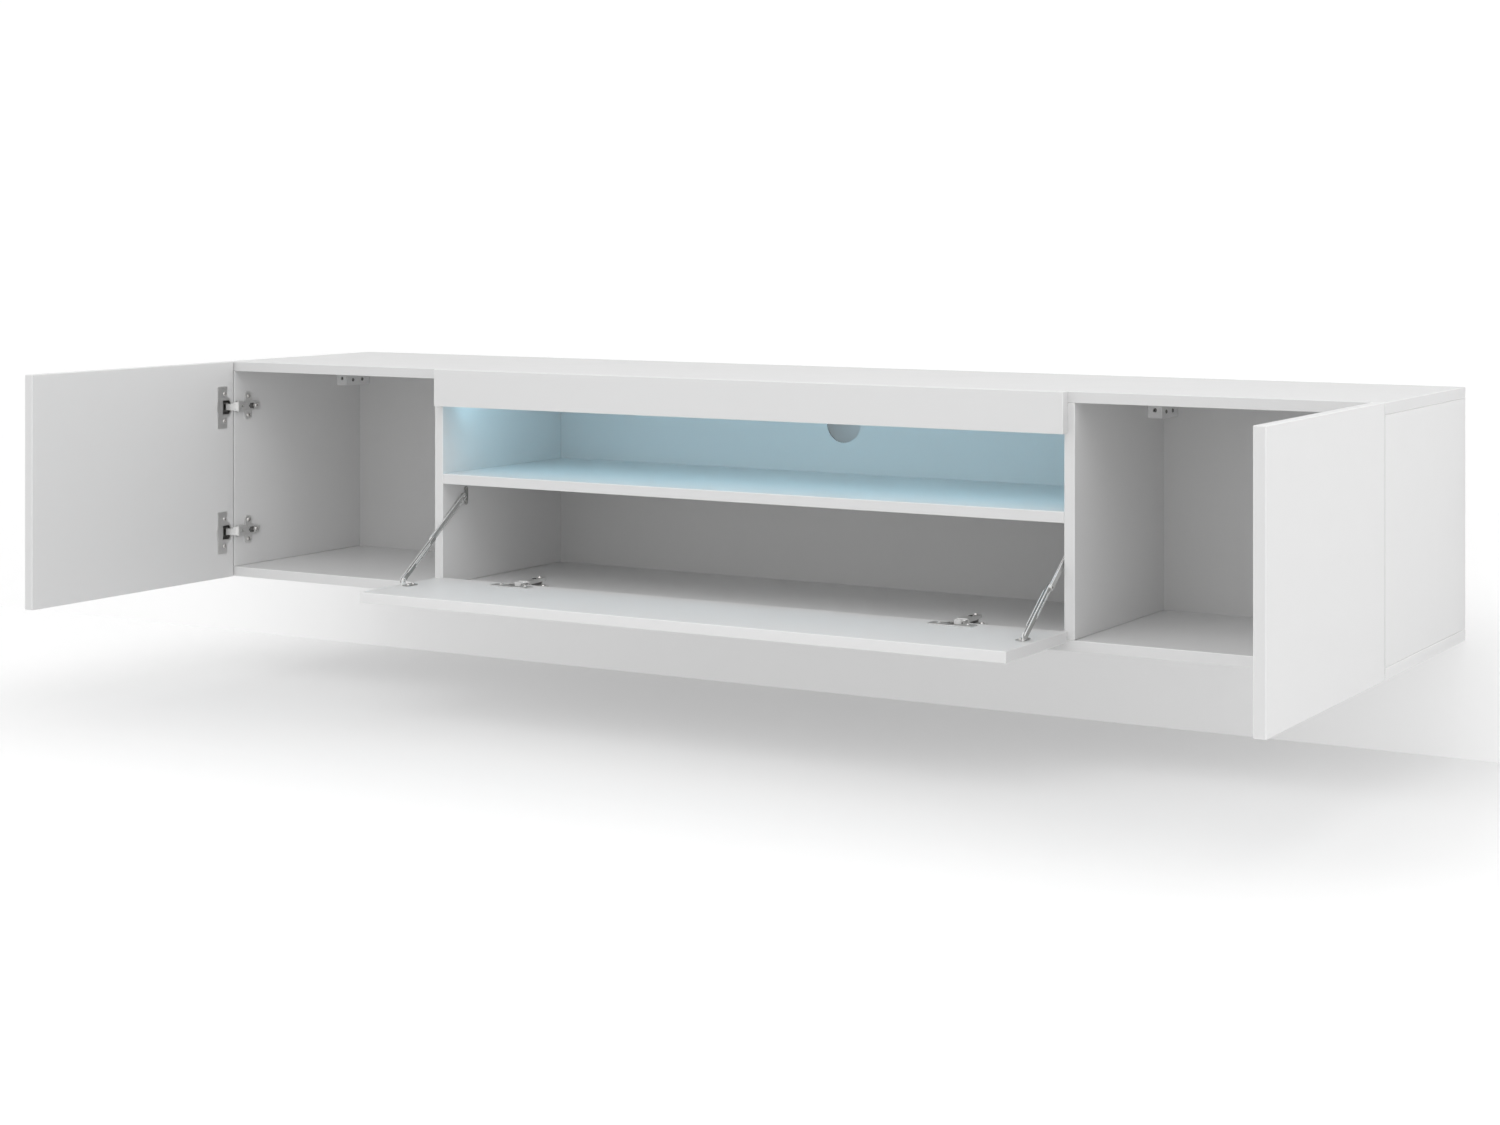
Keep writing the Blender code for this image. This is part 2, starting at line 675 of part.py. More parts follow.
def mounting_plate_mesh(drop, sunk, rise):
    """Two screwed wings and the rail that the arm slides over.

    drop lowers the rail with its arm, sunk is how far the board's face lies
    below the hinge's usual level, and rise thickens the wings.
    """
    base = BOARD + SEAM - sunk
    wing_top = base + WING_THICK + rise
    near = RAIL_NEAR + drop * CRANK_SHARE
    strip = rounded(
        [
            (near, -RAIL_HALF, RAIL_CORNER),
            (RAIL_FAR, -RAIL_HALF, RAIL_CORNER),
            (RAIL_FAR, RAIL_HALF, RAIL_CORNER),
            (near, RAIL_HALF, RAIL_CORNER),
        ],
        steps=2,
    )
    rail = plate(strip, base, ARM_TOP - ARM_SHEET - SEAM - drop, ALONG_X)
    near = WING_CENTRE - WING_WIDTH / 2
    far = WING_CENTRE + WING_WIDTH / 2
    corner = WING_WIDTH / 3
    wing_outline = rounded(
        [
            (near, -WING_HALF, corner),
            (far, -WING_HALF, corner),
            (far, WING_HALF, corner),
            (near, WING_HALF, corner),
        ]
    )
    wings = plate(wing_outline, base, wing_top, ALONG_X)
    holes = []
    for height in (-WING_SCREW, WING_SCREW):
        spot = (0, WING_CENTRE, height)
        holes.append(
            cylinder(spot, "x", SCREW_HOLE_RADIUS, base - WING_THICK, wing_top + WING_THICK, 14)
        )
    return shaped(rail, adds=[wings], cuts=holes)


cup = cup_mesh()
link = link_mesh()
door_arm = arm_mesh(0)
door_plate = mounting_plate_mesh(0, 0, 0)
flap_arm = arm_mesh(FLAP_ARM_DROP)
flap_plate = mounting_plate_mesh(FLAP_ARM_DROP, FLAP_LIFT, FLAP_WING_RISE)
bore = cylinder(
    (0, cup_y, 0), "x", CUP_RADIUS + BORE_SLACK, BOARD - CUP_DEPTH - BORE_SLACK, 2 * BOARD, 32
)


def hinge(name, front, carrier, frame, arm, mount):
    """The four pieces of one hinge, in the frame of that hinge."""
    location = frame @ Vector((*fixed_pin, 0))
    link_axis = pivot(name + "_link_axis", location)
    cut(front, name + "_bore", bore, frame)
    piece(name + "_cup", cup, nickel_finish(name + "_cup"), carrier, frame)
    piece(name + "_link", link, nickel_finish(name + "_link"), link_axis, frame)
    piece(name + "_arm", arm, nickel_finish(name + "_arm"), None, frame)
    piece(name + "_plate", mount, nickel_finish(name + "_plate"), None, frame)


left_turn = Matrix.Identity(4)
right_turn = Matrix.Rotation(math.pi, 4, "Y")
flap_turn = Matrix(((0, 0, -1, 0), (0, 1, 0, 0), (1, 0, 0, 0), (0, 0, 0, 1)))
for place, height in (("bottom", DOOR_HINGE_INSET), ("top", HEIGHT - DOOR_HINGE_INSET)):
    left_frame = Matrix.Translation((-WIDTH / 2, FRONT, UNDERSIDE + height)) @ left_turn
    right_frame = Matrix.Translation((WIDTH / 2, FRONT, UNDERSIDE + height)) @ right_turn
    hinge("left_door_" + place, left_door, left_axis, left_frame, door_arm, door_plate)
    hinge("right_door_" + place, right_door, right_axis, right_frame, door_arm, door_plate)
flap_hinge_x = FRONT_END - FLAP_HINGE_INSET
for place, x in (("left", -flap_hinge_x), ("right", flap_hinge_x)):
    flap_frame = Matrix.Translation((x, FRONT, UNDERSIDE + FLAP_LIFT)) @ flap_turn
    hinge("flap_" + place, flap, flap_axis, flap_frame, flap_arm, flap_plate)


# Folding stays hold the open flap level. The upper arm hangs from a bracket on
# the divider, the lower arm from one on the flap, and they meet at an elbow.
def on_side(point):
    """A stay point as (y, z)."""
    return Vector((FRONT + point[0], UNDERSIDE + point[1]))


def stay_arm(start, end, low, high, open_side, share=1):
    """A pressed strip: round eyes and a channel sunk in its open side, which
    takes that share of the room between the eyes, counted from the end."""
    solid = plate(capsule(start, end, STAY_EYE_RADIUS), low, high, ALONG_X)
    along = (Vector(end) - Vector(start)).normalized()
    inset = 2 * STAY_EYE_RADIUS + STAY_RIM
    last = Vector(end) - along * inset
    first = last + (Vector(start) + along * inset - last) * share
    pocket_outline = capsule(first, last, STAY_EYE_RADIUS - STAY_RIM, 6)
    if open_side > 0:
        pocket = plate(pocket_outline, high - STAY_POCKET, high + STAY_POCKET, ALONG_X)
    else:
        pocket = plate(pocket_outline, low - STAY_POCKET, low + STAY_POCKET, ALONG_X)
    return solid, pocket


def layer(side, near, thick):
    """The x range of a flat piece, counted inwards from the divider's face."""
    face = side * DIVIDER_INNER
    return sorted((face - side * near, face - side * (near + thick)))


def stay(name, side):
    """side is -1 for the left stay and 1 for the right one."""
    top = on_side(STAY_TOP)
    foot = on_side(STAY_FOOT)
    elbow = top + (foot - top) * STAY_ELBOW_SHARE
    steel = nickel_finish(name + "_steel")

    strip = STAY_BRACKET_WIDTH / 2
    back = top.x + STAY_BRACKET_SETBACK
    bracket_low = (back, top.y - STAY_BRACKET_HEIGHT / 2 + strip)
    bracket_high = (back, top.y + STAY_BRACKET_HEIGHT / 2 - strip)
    bracket_x = layer(side, SEAM, STAY_PLATE)
    base = plate(capsule(bracket_low, bracket_high, strip), *bracket_x, ALONG_X)
    tab = plate(capsule(top, (back, top.y), STAY_EYE_RADIUS), *bracket_x, ALONG_X)
    boss_x = layer(side, SEAM, STAY_PLATE + STAY_PLATE / 2)
    boss = cylinder((0, *top), "x", STAY_RIVET_RADIUS + STAY_RIM, *boss_x, 16)
    holes = []
    for spot in (bracket_low, bracket_high):
        holes.append(cylinder((0, *spot), "x", STAY_RIM, *layer(side, -BOARD, 2 * BOARD), 12))
    piece(name + "_divider_bracket", shaped(base, adds=[tab, boss], cuts=holes), steel)

    upper_near = STAY_PLATE + STAY_PLATE / 2 + 2 * SEAM
    upper_x = layer(side, upper_near, STAY_ARM_THICK)
    upper_axis = pivot(name + "_upper_axis", (side * DIVIDER_INNER, *top))
    solid, pocket = stay_arm(top, elbow, *upper_x, -side)
    piece(name + "_upper_arm", shaped(solid, cuts=[pocket]), steel, upper_axis)

    lower_near = upper_near + STAY_ARM_THICK + SEAM
    lower_x = layer(side, lower_near, STAY_ARM_THICK)
    lower_axis = pivot(name + "_lower_axis", (side * DIVIDER_INNER, *foot))
    lower_axis.parent = flap_axis
    lower_axis.matrix_parent_inverse = flap_axis.matrix_basis.inverted()
    solid, pocket = stay_arm(foot, elbow, *lower_x, -side, STAY_POCKET_SHARE)
    along = (elbow - foot).normalized()
    lift = Vector((-along.y, along.x)) * (STAY_EYE_RADIUS - STAY_LIP_INSET - STAY_LIP_THICK / 2)
    lip_start = foot + lift + along * 3 * STAY_EYE_RADIUS
    lip_end = elbow + lift - along * 2 * STAY_EYE_RADIUS
    lip_x = layer(side, lower_near + STAY_ARM_THICK / 2, STAY_ARM_THICK / 2 + STAY_LIP)
    lip = plate(band([lip_start, lip_end], STAY_LIP_THICK), *lip_x, ALONG_X)
    rivet_x = layer(side, lower_near, STAY_ARM_THICK + STAY_PLATE / 2)
    rivet = cylinder((0, *elbow), "x", STAY_RIVET_RADIUS + STAY_RIM / 2, *rivet_x, 16)
    lower = shaped(solid, adds=[rivet, lip], cuts=[pocket])
    made = piece(name + "_lower_arm", lower, steel)
    made.parent = lower_axis
    made.matrix_parent_inverse = lower_axis.matrix_basis.inverted()

    post_near = lower_near + STAY_ARM_THICK + SEAM
    post_x = layer(side, post_near, STAY_PLATE)
    flap_top = UNDERSIDE + FLAP_LIFT + BOARD + SEAM
    post_outline = [
        (foot.x - STAY_EYE_RADIUS, flap_top),
        (foot.x + STAY_EYE_RADIUS, flap_top),
    ]
    for step in range(9):
        angle = math.pi * step / 8
        post_outline.append(
            (foot.x + STAY_EYE_RADIUS * math.cos(angle), foot.y + STAY_EYE_RADIUS * math.sin(angle))
        )
    post = plate(post_outline, *post_x, ALONG_X)
    foot_x = layer(side, post_near, STAY_FOOT_WIDTH)
    near = foot.x - STAY_EYE_RADIUS
    corner = STAY_FOOT_WIDTH / 4
    foot_outline = rounded(
        [
            (foot_x[0], near, corner),
            (foot_x[1], near, corner),
            (foot_x[1], near + STAY_FOOT_LENGTH, corner),
            (foot_x[0], near + STAY_FOOT_LENGTH, corner),
        ],
        steps=3,
    )
    sole = plate(foot_outline, flap_top, flap_top + STAY_PLATE)
    piece(name + "_flap_bracket", shaped(post, adds=[sole]), steel, flap_axis)


stay("left_stay", -1)
stay("right_stay", 1)
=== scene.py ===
"""A long wall-hung television cabinet in matt white laminated board, shown with
its two side doors and its centre flap open.

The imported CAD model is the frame. This file gives every board and fitting its
finish, adds the screws and small trim, and sets a plain white room round it.
Lengths are in metres: +X runs to the right, +Y into the wall and +Z up.
"""

import math

import bmesh
import bpy
from mathutils import Matrix, Vector


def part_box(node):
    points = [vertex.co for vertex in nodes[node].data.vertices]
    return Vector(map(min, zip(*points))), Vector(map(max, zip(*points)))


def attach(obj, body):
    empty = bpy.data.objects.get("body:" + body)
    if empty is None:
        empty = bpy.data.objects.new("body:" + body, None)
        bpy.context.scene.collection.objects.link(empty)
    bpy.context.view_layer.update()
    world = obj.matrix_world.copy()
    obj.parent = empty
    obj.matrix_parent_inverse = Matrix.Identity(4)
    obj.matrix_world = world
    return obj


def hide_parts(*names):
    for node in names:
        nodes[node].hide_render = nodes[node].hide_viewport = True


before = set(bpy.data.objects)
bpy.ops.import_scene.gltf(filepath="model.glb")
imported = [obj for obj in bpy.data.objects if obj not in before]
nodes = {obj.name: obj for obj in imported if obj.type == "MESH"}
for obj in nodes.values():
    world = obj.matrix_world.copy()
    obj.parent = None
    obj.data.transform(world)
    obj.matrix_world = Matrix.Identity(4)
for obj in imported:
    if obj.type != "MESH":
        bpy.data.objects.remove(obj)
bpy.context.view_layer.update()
scene = bpy.context.scene
scene.view_settings.view_transform = "Standard"


# Camera: it stands to the right of the cabinet, well above its top, and looks
# level, so the uprights stay upright. The frame is shifted down and across to
# take in the cabinet.
CAMERA_PLACE = (2.0297, -3.6784, 0.5882)
CAMERA_TURN = 30.15
CAMERA_SENSOR = 36
CAMERA_LENS = 62.15
CAMERA_SHIFT = (-0.0302, -0.2265)


def bring_in(name, data):
    """A new object in the scene, from its mesh, lamp or camera."""
    made = bpy.data.objects.new(name, data)
    scene.collection.objects.link(made)
    return made


lens = bpy.data.cameras.new("camera")
lens.sensor_width = CAMERA_SENSOR
lens.lens = CAMERA_LENS
lens.shift_x, lens.shift_y = CAMERA_SHIFT
camera = bring_in("camera", lens)
camera.location = CAMERA_PLACE
camera.rotation_euler = (math.radians(90), 0, math.radians(CAMERA_TURN))
scene.camera = camera


# Carcass boards: 16 mm particleboard faced with matt white melamine paper,
# pressed with a fine pearl, and edged with thin white band. The top and bottom
# boards cap the sides and the dividers, and the shelf sits between these.
BOARD_WHITE = (0.79, 0.79, 0.79)
# The top board is painted a shade darker than the other boards: painted shade where the light from above
# falls strongest.
TOP_SHADED_WHITE = (0.745, 0.745, 0.745)
BOARD_DUST = (0.60, 0.595, 0.58)
# Near-white painted highlight along each board's arrises.
ARRIS_HIGHLIGHT = (0.95, 0.95, 0.95)
ARRIS_WIDTH = 0.0016
BAND_LINE = (0.52, 0.515, 0.50)
BAND_LINE_SHOWS = 0.35
BAND_LINE_WIDTHS = (0.00005, 0.00016)
BAND_THICK = 0.0009
FACE_DEPTH = 0.0001
PEARL_SCALE = 820.0
PEARL_BUMP = 0.12
PEARL_DEPTH = 0.0002


def new_group(name, inputs, outputs):
    """A shader node group with its sockets, and its inner input and output."""
    group = bpy.data.node_groups.new(name, "ShaderNodeTree")
    for label, kind, value in inputs:
        socket = group.interface.new_socket(name=label, in_out="INPUT", socket_type=kind)
        socket.default_value = value
    for label in outputs:
        group.interface.new_socket(name=label, in_out="OUTPUT", socket_type="NodeSocketFloat")
    return group, group.nodes.new("NodeGroupInput"), group.nodes.new("NodeGroupOutput")


def add(tree, kind, links=None, **settings):
    """A node with its settings, and its named or numbered inputs set or linked."""
    node = tree.nodes.new(kind)
    for name, value in settings.items():
        setattr(node, name, value)
    for socket, value in (links or {}).items():
        if isinstance(value, bpy.types.NodeSocket):
            tree.links.new(value, node.inputs[socket])
        else:
            node.inputs[socket].default_value = value
    return node


def calc(tree, operation, first, second=0.0):
    """One step of arithmetic."""
    node = add(tree, "ShaderNodeMath", {0: first, 1: second}, operation=operation)
    return node.outputs[0]


def vector_calc(tree, operation, first, second):
    """One step of arithmetic on vectors."""
    return add(tree, "ShaderNodeVectorMath", {0: first, 1: second}, operation=operation).outputs[0]


def reach(tree, first, second):
    """How far the first vector reaches along the second."""
    links = {0: first, 1: second}
    return add(tree, "ShaderNodeVectorMath", links, operation="DOT_PRODUCT").outputs["Value"]


def fade(tree, value, start, end):
    """1 up to start, falling smoothly to 0 at end."""
    links = {"Value": value, "From Min": start, "From Max": end, "To Min": 1.0, "To Max": 0.0}
    return add(tree, "ShaderNodeMapRange", links, interpolation_type="SMOOTHSTEP").outputs[0]


def spread(tree, value, low, high):
    """A value from 0 to 1 laid between two others."""
    links = {"Value": value, "To Min": low, "To Max": high}
    return add(tree, "ShaderNodeMapRange", links).outputs[0]


def blend_colour(tree, mask, first, second):
    """The second colour over the first where the mask is 1."""
    node = add(tree, "ShaderNodeMix", {0: mask}, data_type="RGBA")
    for socket, value in ((6, first), (7, second)):
        if isinstance(value, bpy.types.NodeSocket):
            tree.links.new(value, node.inputs[socket])
        else:
            node.inputs[socket].default_value = (*value, 1.0)
    return node.outputs[2]


def relief(tree, shader, height, strength, distance):
    """Fine bumps on a surface, from a value that varies over it."""
    links = {"Height": height, "Strength": strength, "Distance": distance}
    tree.links.new(add(tree, "ShaderNodeBump", links).outputs[0], shader.inputs["Normal"])


def board_edges():
    """How near a point is to its board's arrises, and where the band's joint runs."""
    inputs = [
        ("Low", "NodeSocketVector", (0, 0, 0)),
        ("High", "NodeSocketVector", (0, 0, 0)),
        ("Thin Axis", "NodeSocketVector", (0, 0, 1)),
        ("Arris Width", "NodeSocketFloat", ARRIS_WIDTH),
        ("Band Thickness", "NodeSocketFloat", BAND_THICK),
    ]
    group, entry, leave = new_group("board_edges", inputs, ["Arris", "Band Joint"])
    place = add(group, "ShaderNodeTexCoord").outputs["Object"]
    above = vector_calc(group, "SUBTRACT", place, entry.outputs["Low"])
    below = vector_calc(group, "SUBTRACT", entry.outputs["High"], place)
    nearest = vector_calc(group, "MINIMUM", above, below)
    sides = add(group, "ShaderNodeSeparateXYZ", {0: nearest}).outputs
    least = calc(group, "MINIMUM", calc(group, "MINIMUM", sides[0], sides[1]), sides[2])
    most = calc(group, "MAXIMUM", calc(group, "MAXIMUM", sides[0], sides[1]), sides[2])
    total = calc(group, "ADD", calc(group, "ADD", sides[0], sides[1]), sides[2])
    middle = calc(group, "SUBTRACT", calc(group, "SUBTRACT", total, least), most)
    arris = fade(group, middle, 0.0, entry.outputs["Arris Width"])
    off_joint = calc(group, "ABSOLUTE", calc(group, "SUBTRACT", middle, entry.outputs["Band Thickness"]))
    on_face = calc(group, "LESS_THAN", reach(group, nearest, entry.outputs["Thin Axis"]), FACE_DEPTH)
    joint = calc(group, "MULTIPLY", fade(group, off_joint, *BAND_LINE_WIDTHS), on_face)
    group.links.new(arris, leave.inputs["Arris"])
    group.links.new(joint, leave.inputs["Band Joint"])
    return group


def laminate_skin():
    """The pearl of melamine paper, its faint cloudiness and the traces of hands."""
    inputs = [
        ("Pearl Scale", "NodeSocketFloat", PEARL_SCALE),
        ("Cloud Scale", "NodeSocketFloat", 3.0),
        ("Touch Scale", "NodeSocketFloat", 16.0),
    ]
    group, entry, leave = new_group("laminate_skin", inputs, ["Cloud", "Touch", "Pearl"])
    place = add(group, "ShaderNodeTexCoord").outputs["Object"]
    for label, scale, detail in (("Cloud", "Cloud Scale", 4.0), ("Touch", "Touch Scale", 6.0)):
        links = {"Vector": place, "Scale": entry.outputs[scale], "Detail": detail, "Roughness": 0.6}
        noise = add(group, "ShaderNodeTexNoise", links).outputs[0]
        group.links.new(noise, leave.inputs[label])
    links = {"Vector": place, "Scale": entry.outputs["Pearl Scale"], "Randomness": 1.0, "Smoothness": 0.9}
    pearl = add(group, "ShaderNodeTexVoronoi", links, feature="SMOOTH_F1").outputs["Distance"]
    group.links.new(pearl, leave.inputs["Pearl"])
    return group


edges_group = board_edges()
skin_group = laminate_skin()


def principled(name, roughness, metallic=0.0):
    """A new material, its node tree and its shader."""
    made = bpy.data.materials.new(name)
    made.use_nodes = True
    tree = made.node_tree
    shader = tree.nodes["Principled BSDF"]
    shader.inputs["Roughness"].default_value = roughness
    shader.inputs["Metallic"].default_value = metallic
    return made, tree, shader


def dress(node, finish):
    """Gives a CAD node, or a piece, one material."""
    node.data.materials.clear()
    node.data.materials.append(finish)


def laminate(name, thin, white=BOARD_WHITE):
    """White melamine board, its edge work and painted arris highlight fitted to that board."""
    made, tree, shader = principled(name + "_laminate", 0.42)
    low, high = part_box(name)
    edges = add(tree, "ShaderNodeGroup", node_tree=edges_group)
    edges.inputs["Low"].default_value = low
    edges.inputs["High"].default_value = high
    edges.inputs["Thin Axis"].default_value = thin
    skin = add(tree, "ShaderNodeGroup", node_tree=skin_group)
    cloud = calc(tree, "MULTIPLY", skin.outputs["Cloud"], 0.05)
    shade = blend_colour(tree, cloud, white, BOARD_DUST)
    # A painted highlight along the arrises, stronger where the traces of hands are.
    painted_arris_highlight = calc(tree, "MULTIPLY", edges.outputs["Arris"], spread(tree, skin.outputs["Touch"], 0.6, 1.0))
    shade = blend_colour(tree, painted_arris_highlight, shade, ARRIS_HIGHLIGHT)
    joint = calc(tree, "MULTIPLY", edges.outputs["Band Joint"], BAND_LINE_SHOWS)
    shade = blend_colour(tree, joint, shade, BAND_LINE)
    tree.links.new(shade, shader.inputs["Base Color"])
    tree.links.new(spread(tree, skin.outputs["Touch"], 0.36, 0.52), shader.inputs["Roughness"])
    relief(tree, shader, skin.outputs["Pearl"], PEARL_BUMP, PEARL_DEPTH)
    return made


for name, thin, white in (
    ("top_panel", (0, 0, 1), TOP_SHADED_WHITE),
    ("bottom_panel", (0, 0, 1), BOARD_WHITE),
    ("left_side", (1, 0, 0), BOARD_WHITE),
    ("right_side", (1, 0, 0), BOARD_WHITE),
    ("left_divider", (1, 0, 0), BOARD_WHITE),
    ("right_divider", (1, 0, 0), BOARD_WHITE),
    ("shelf", (0, 0, 1), BOARD_WHITE),
):
    dress(nodes[name], laminate(name, thin, white))


# Back boards: 3 mm hardboard, painted white on the side that shows and left
# brown-grey behind. They sit in grooves, and the centre one has the cable hole.
BACK_WHITE = (0.72, 0.72, 0.72)
BACK_FIBRE = (0.42, 0.36, 0.29)
FIBRE_DARK = (0.24, 0.19, 0.14)
FIBRE_SCALE = 260.0
FIBRE_BUMP = 0.10
FIBRE_DEPTH = 0.0002
# The cut edges' dark grey is partly painted shade, for the rim of the cable hole.
CUT_SHADE_GREY = (0.22, 0.24, 0.25)
SKIN_DEPTH = 0.0002
back_low, back_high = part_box("centre_back")


def painted_hardboard(name):
    """Paint on the front, cut edges in a dark grey that partly paints the shade in the cable hole's rim,
    and bare pressed fibre behind.
    """
    made, tree, shader = principled(name + "_hardboard", 0.5)
    place = add(tree, "ShaderNodeTexCoord").outputs["Object"]
    depth = add(tree, "ShaderNodeSeparateXYZ", {0: place}).outputs[1]
    cut = calc(tree, "GREATER_THAN", depth, back_low.y + SKIN_DEPTH)
    bare = calc(tree, "GREATER_THAN", depth, back_high.y - SKIN_DEPTH)
    stretched = add(tree, "ShaderNodeMapping", {0: place, "Scale": (1.0, 1.0, 3.0)}).outputs[0]
    links = {"Vector": stretched, "Scale": FIBRE_SCALE, "Detail": 8.0, "Roughness": 0.7}
    fibre = add(tree, "ShaderNodeTexNoise", links).outputs[0]
    cloud = add(tree, "ShaderNodeTexNoise", {"Vector": place, "Scale": 4.0, "Detail": 3.0}).outputs[0]
    paint = blend_colour(tree, calc(tree, "MULTIPLY", cloud, 0.07), BACK_WHITE, BOARD_DUST)
    wood = blend_colour(tree, fibre, BACK_FIBRE, FIBRE_DARK)
    paint = blend_colour(tree, cut, paint, CUT_SHADE_GREY)
    tree.links.new(blend_colour(tree, bare, paint, wood), shader.inputs["Base Color"])
    tree.links.new(spread(tree, fibre, 0.42, 0.66), shader.inputs["Roughness"])
    relief(tree, shader, fibre, FIBRE_BUMP, FIBRE_DEPTH)
    return made


for name in ("left_back", "centre_back", "right_back"):
    dress(nodes[name], painted_hardboard(name))


# Fascia: the same laminated board, fixed across the front above the niche.
# It hides the light strip behind it.
dress(nodes["fascia"], laminate("fascia", (0, 1, 0)))


# Light strip: an anodised aluminium channel under the top board holds a strip
# of small lamps behind an opal cover, which glows pale blue into the niche.
CHANNEL_LIGHT = (0.72, 0.73, 0.74)
CHANNEL_DARK = (0.55, 0.56, 0.58)
LINE_DEPTH = 0.0001
OPAL_WHITE = (0.80, 0.86, 0.88)
LIGHT_BLUE = (0.44, 0.82, 1.0)
LIGHT_STRENGTH = 1.9
LIGHT_DIMMEST = 0.86
LAMP_PITCH = 0.0167
GLOW_POWER = 0.46
GLOW_WIDTH = 0.02
GLOW_BACK = 0.004
GLOW_DROP = 0.006
GLOW_TILT = 72


def drawn_metal():
    """Fine lines along local X, as on drawn or rolled metal."""
    inputs = [("Line Scale", "NodeSocketFloat", 900.0), ("Stretch", "NodeSocketVector", (0.02, 1, 1))]
    group, entry, leave = new_group("drawn_metal", inputs, ["Lines", "Cloud"])
    place = add(group, "ShaderNodeTexCoord").outputs["Object"]
    pulled = vector_calc(group, "MULTIPLY", place, entry.outputs["Stretch"])
    links = {"Vector": pulled, "Scale": entry.outputs["Line Scale"], "Detail": 5.0}
    group.links.new(add(group, "ShaderNodeTexNoise", links).outputs[0], leave.inputs["Lines"])
    links = {"Vector": place, "Scale": 90.0, "Detail": 4.0}
    group.links.new(add(group, "ShaderNodeTexNoise", links).outputs[0], leave.inputs["Cloud"])
    return group


drawn_group = drawn_metal()


def metal(name, light, dark, smooth, rough, stretch, scale=900.0, bump=0.05, metallic=1.0):
    """Plated or anodised metal with the lines of its making."""
    made, tree, shader = principled(name, smooth, metallic)
    lines = add(tree, "ShaderNodeGroup", node_tree=drawn_group)
    lines.inputs["Line Scale"].default_value = scale
    lines.inputs["Stretch"].default_value = stretch
    mixed = calc(tree, "MULTIPLY", lines.outputs["Cloud"], lines.outputs["Lines"])
    tree.links.new(blend_colour(tree, mixed, light, dark), shader.inputs["Base Color"])
    tree.links.new(spread(tree, lines.outputs["Lines"], smooth, rough), shader.inputs["Roughness"])
    relief(tree, shader, lines.outputs["Lines"], bump, LINE_DEPTH)
    return made


anodised = metal("anodised_channel", CHANNEL_LIGHT, CHANNEL_DARK, 0.28, 0.44, (0.01, 1, 1))
dress(nodes["light_profile"], anodised)

opal, tree, shader = principled("opal_cover", 0.5)
shader.inputs["Base Color"].default_value = (*OPAL_WHITE, 1.0)
shader.inputs["Emission Strength"].default_value = LIGHT_STRENGTH
place = add(tree, "ShaderNodeTexCoord").outputs["Object"]
along = add(tree, "ShaderNodeSeparateXYZ", {0: place}).outputs[0]
wave = calc(tree, "COSINE", calc(tree, "MULTIPLY", along, 2 * math.pi / LAMP_PITCH))
lamp_spots = calc(tree, "ADD", calc(tree, "MULTIPLY", wave, 0.5), 0.5)
dim_blue = tuple(LIGHT_DIMMEST * part for part in LIGHT_BLUE)
tree.links.new(blend_colour(tree, lamp_spots, dim_blue, LIGHT_BLUE), shader.inputs["Emission Color"])
dress(nodes["light_diffuser"], opal)


def broad_lamp(name, place, turn, width, depth, power):
    """A soft rectangular lamp that the camera doesn't see."""
    data = bpy.data.lights.new(name, "AREA")
    data.shape = "RECTANGLE"
    data.size = width
    data.size_y = depth
    data.energy = power
    lamp = bring_in(name, data)
    lamp.location = place
    lamp.rotation_euler = turn
    lamp.visible_camera = False
    return lamp


# What the opal cover throws back into the niche, past its rounded rear edge.
strip_low, strip_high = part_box("light_diffuser")
place = (0, strip_high.y + GLOW_BACK, strip_low.z - GLOW_DROP)
turn = (math.radians(GLOW_TILT), 0, 0)
niche_glow = broad_lamp("niche_glow", place, turn, strip_high.x - strip_low.x, GLOW_WIDTH, GLOW_POWER)
niche_glow.data.color = LIGHT_BLUE
niche_glow.visible_glossy = False


# Wall hangers: pressed zinc-plated housings in the upper rear corners of the
# side compartments. A steel hook in each reaches through the back board to the
# wall rail. Two screws in its front set it, and two more hold its side.
ZINC_LIGHT = (0.93, 0.93, 0.93)
ZINC_DARK = (0.82, 0.825, 0.83)
# Dark nickel that paints shade: on the hanger screws, the cups' insides, the doors' links and the plates'
# rails.
SHADED_NICKEL_LIGHT = (0.30, 0.298, 0.29)
SHADED_NICKEL_DARK = (0.16, 0.158, 0.15)
SCREW_LIGHT = (0.74, 0.73, 0.71)
SCREW_DARK = (0.48, 0.47, 0.45)
SOLID_WELD = 0.000002
TURNED_WELD = 0.00001
HANGER_ROUNDING = 0.0004
HANGER_SCREW = (0.0030, 0.0016)
HANGER_FRONT_SINK = 0.0030
HANGER_FRONT_SHARES = (0.32, 0.68)
HANGER_SIDE_BACKS = (0.0165, 0.0415)
HANGER_SIDE_UP = 0.0095


def mesh_from(bm, name):
    """A mesh from what bmesh has built."""
    mesh = bpy.data.meshes.new(name)
    bm.to_mesh(mesh)
    bm.free()
    return mesh


def cut_out(mesh, tools):
    """The mesh with each tool taken out of it."""
    body = bring_in("body", mesh)
    helpers = [bring_in("tool", tool) for tool in tools]
    for helper in helpers:
        step = body.modifiers.new("cut", "BOOLEAN")
        step.operation = "DIFFERENCE"
        step.object = helper
    result = bpy.data.meshes.new_from_object(body.evaluated_get(bpy.context.evaluated_depsgraph_get()))
    for helper in helpers + [body]:
        bpy.data.objects.remove(helper, do_unlink=True)
    result.shade_smooth()
    result.set_sharp_from_angle(angle=math.radians(35))
    return result


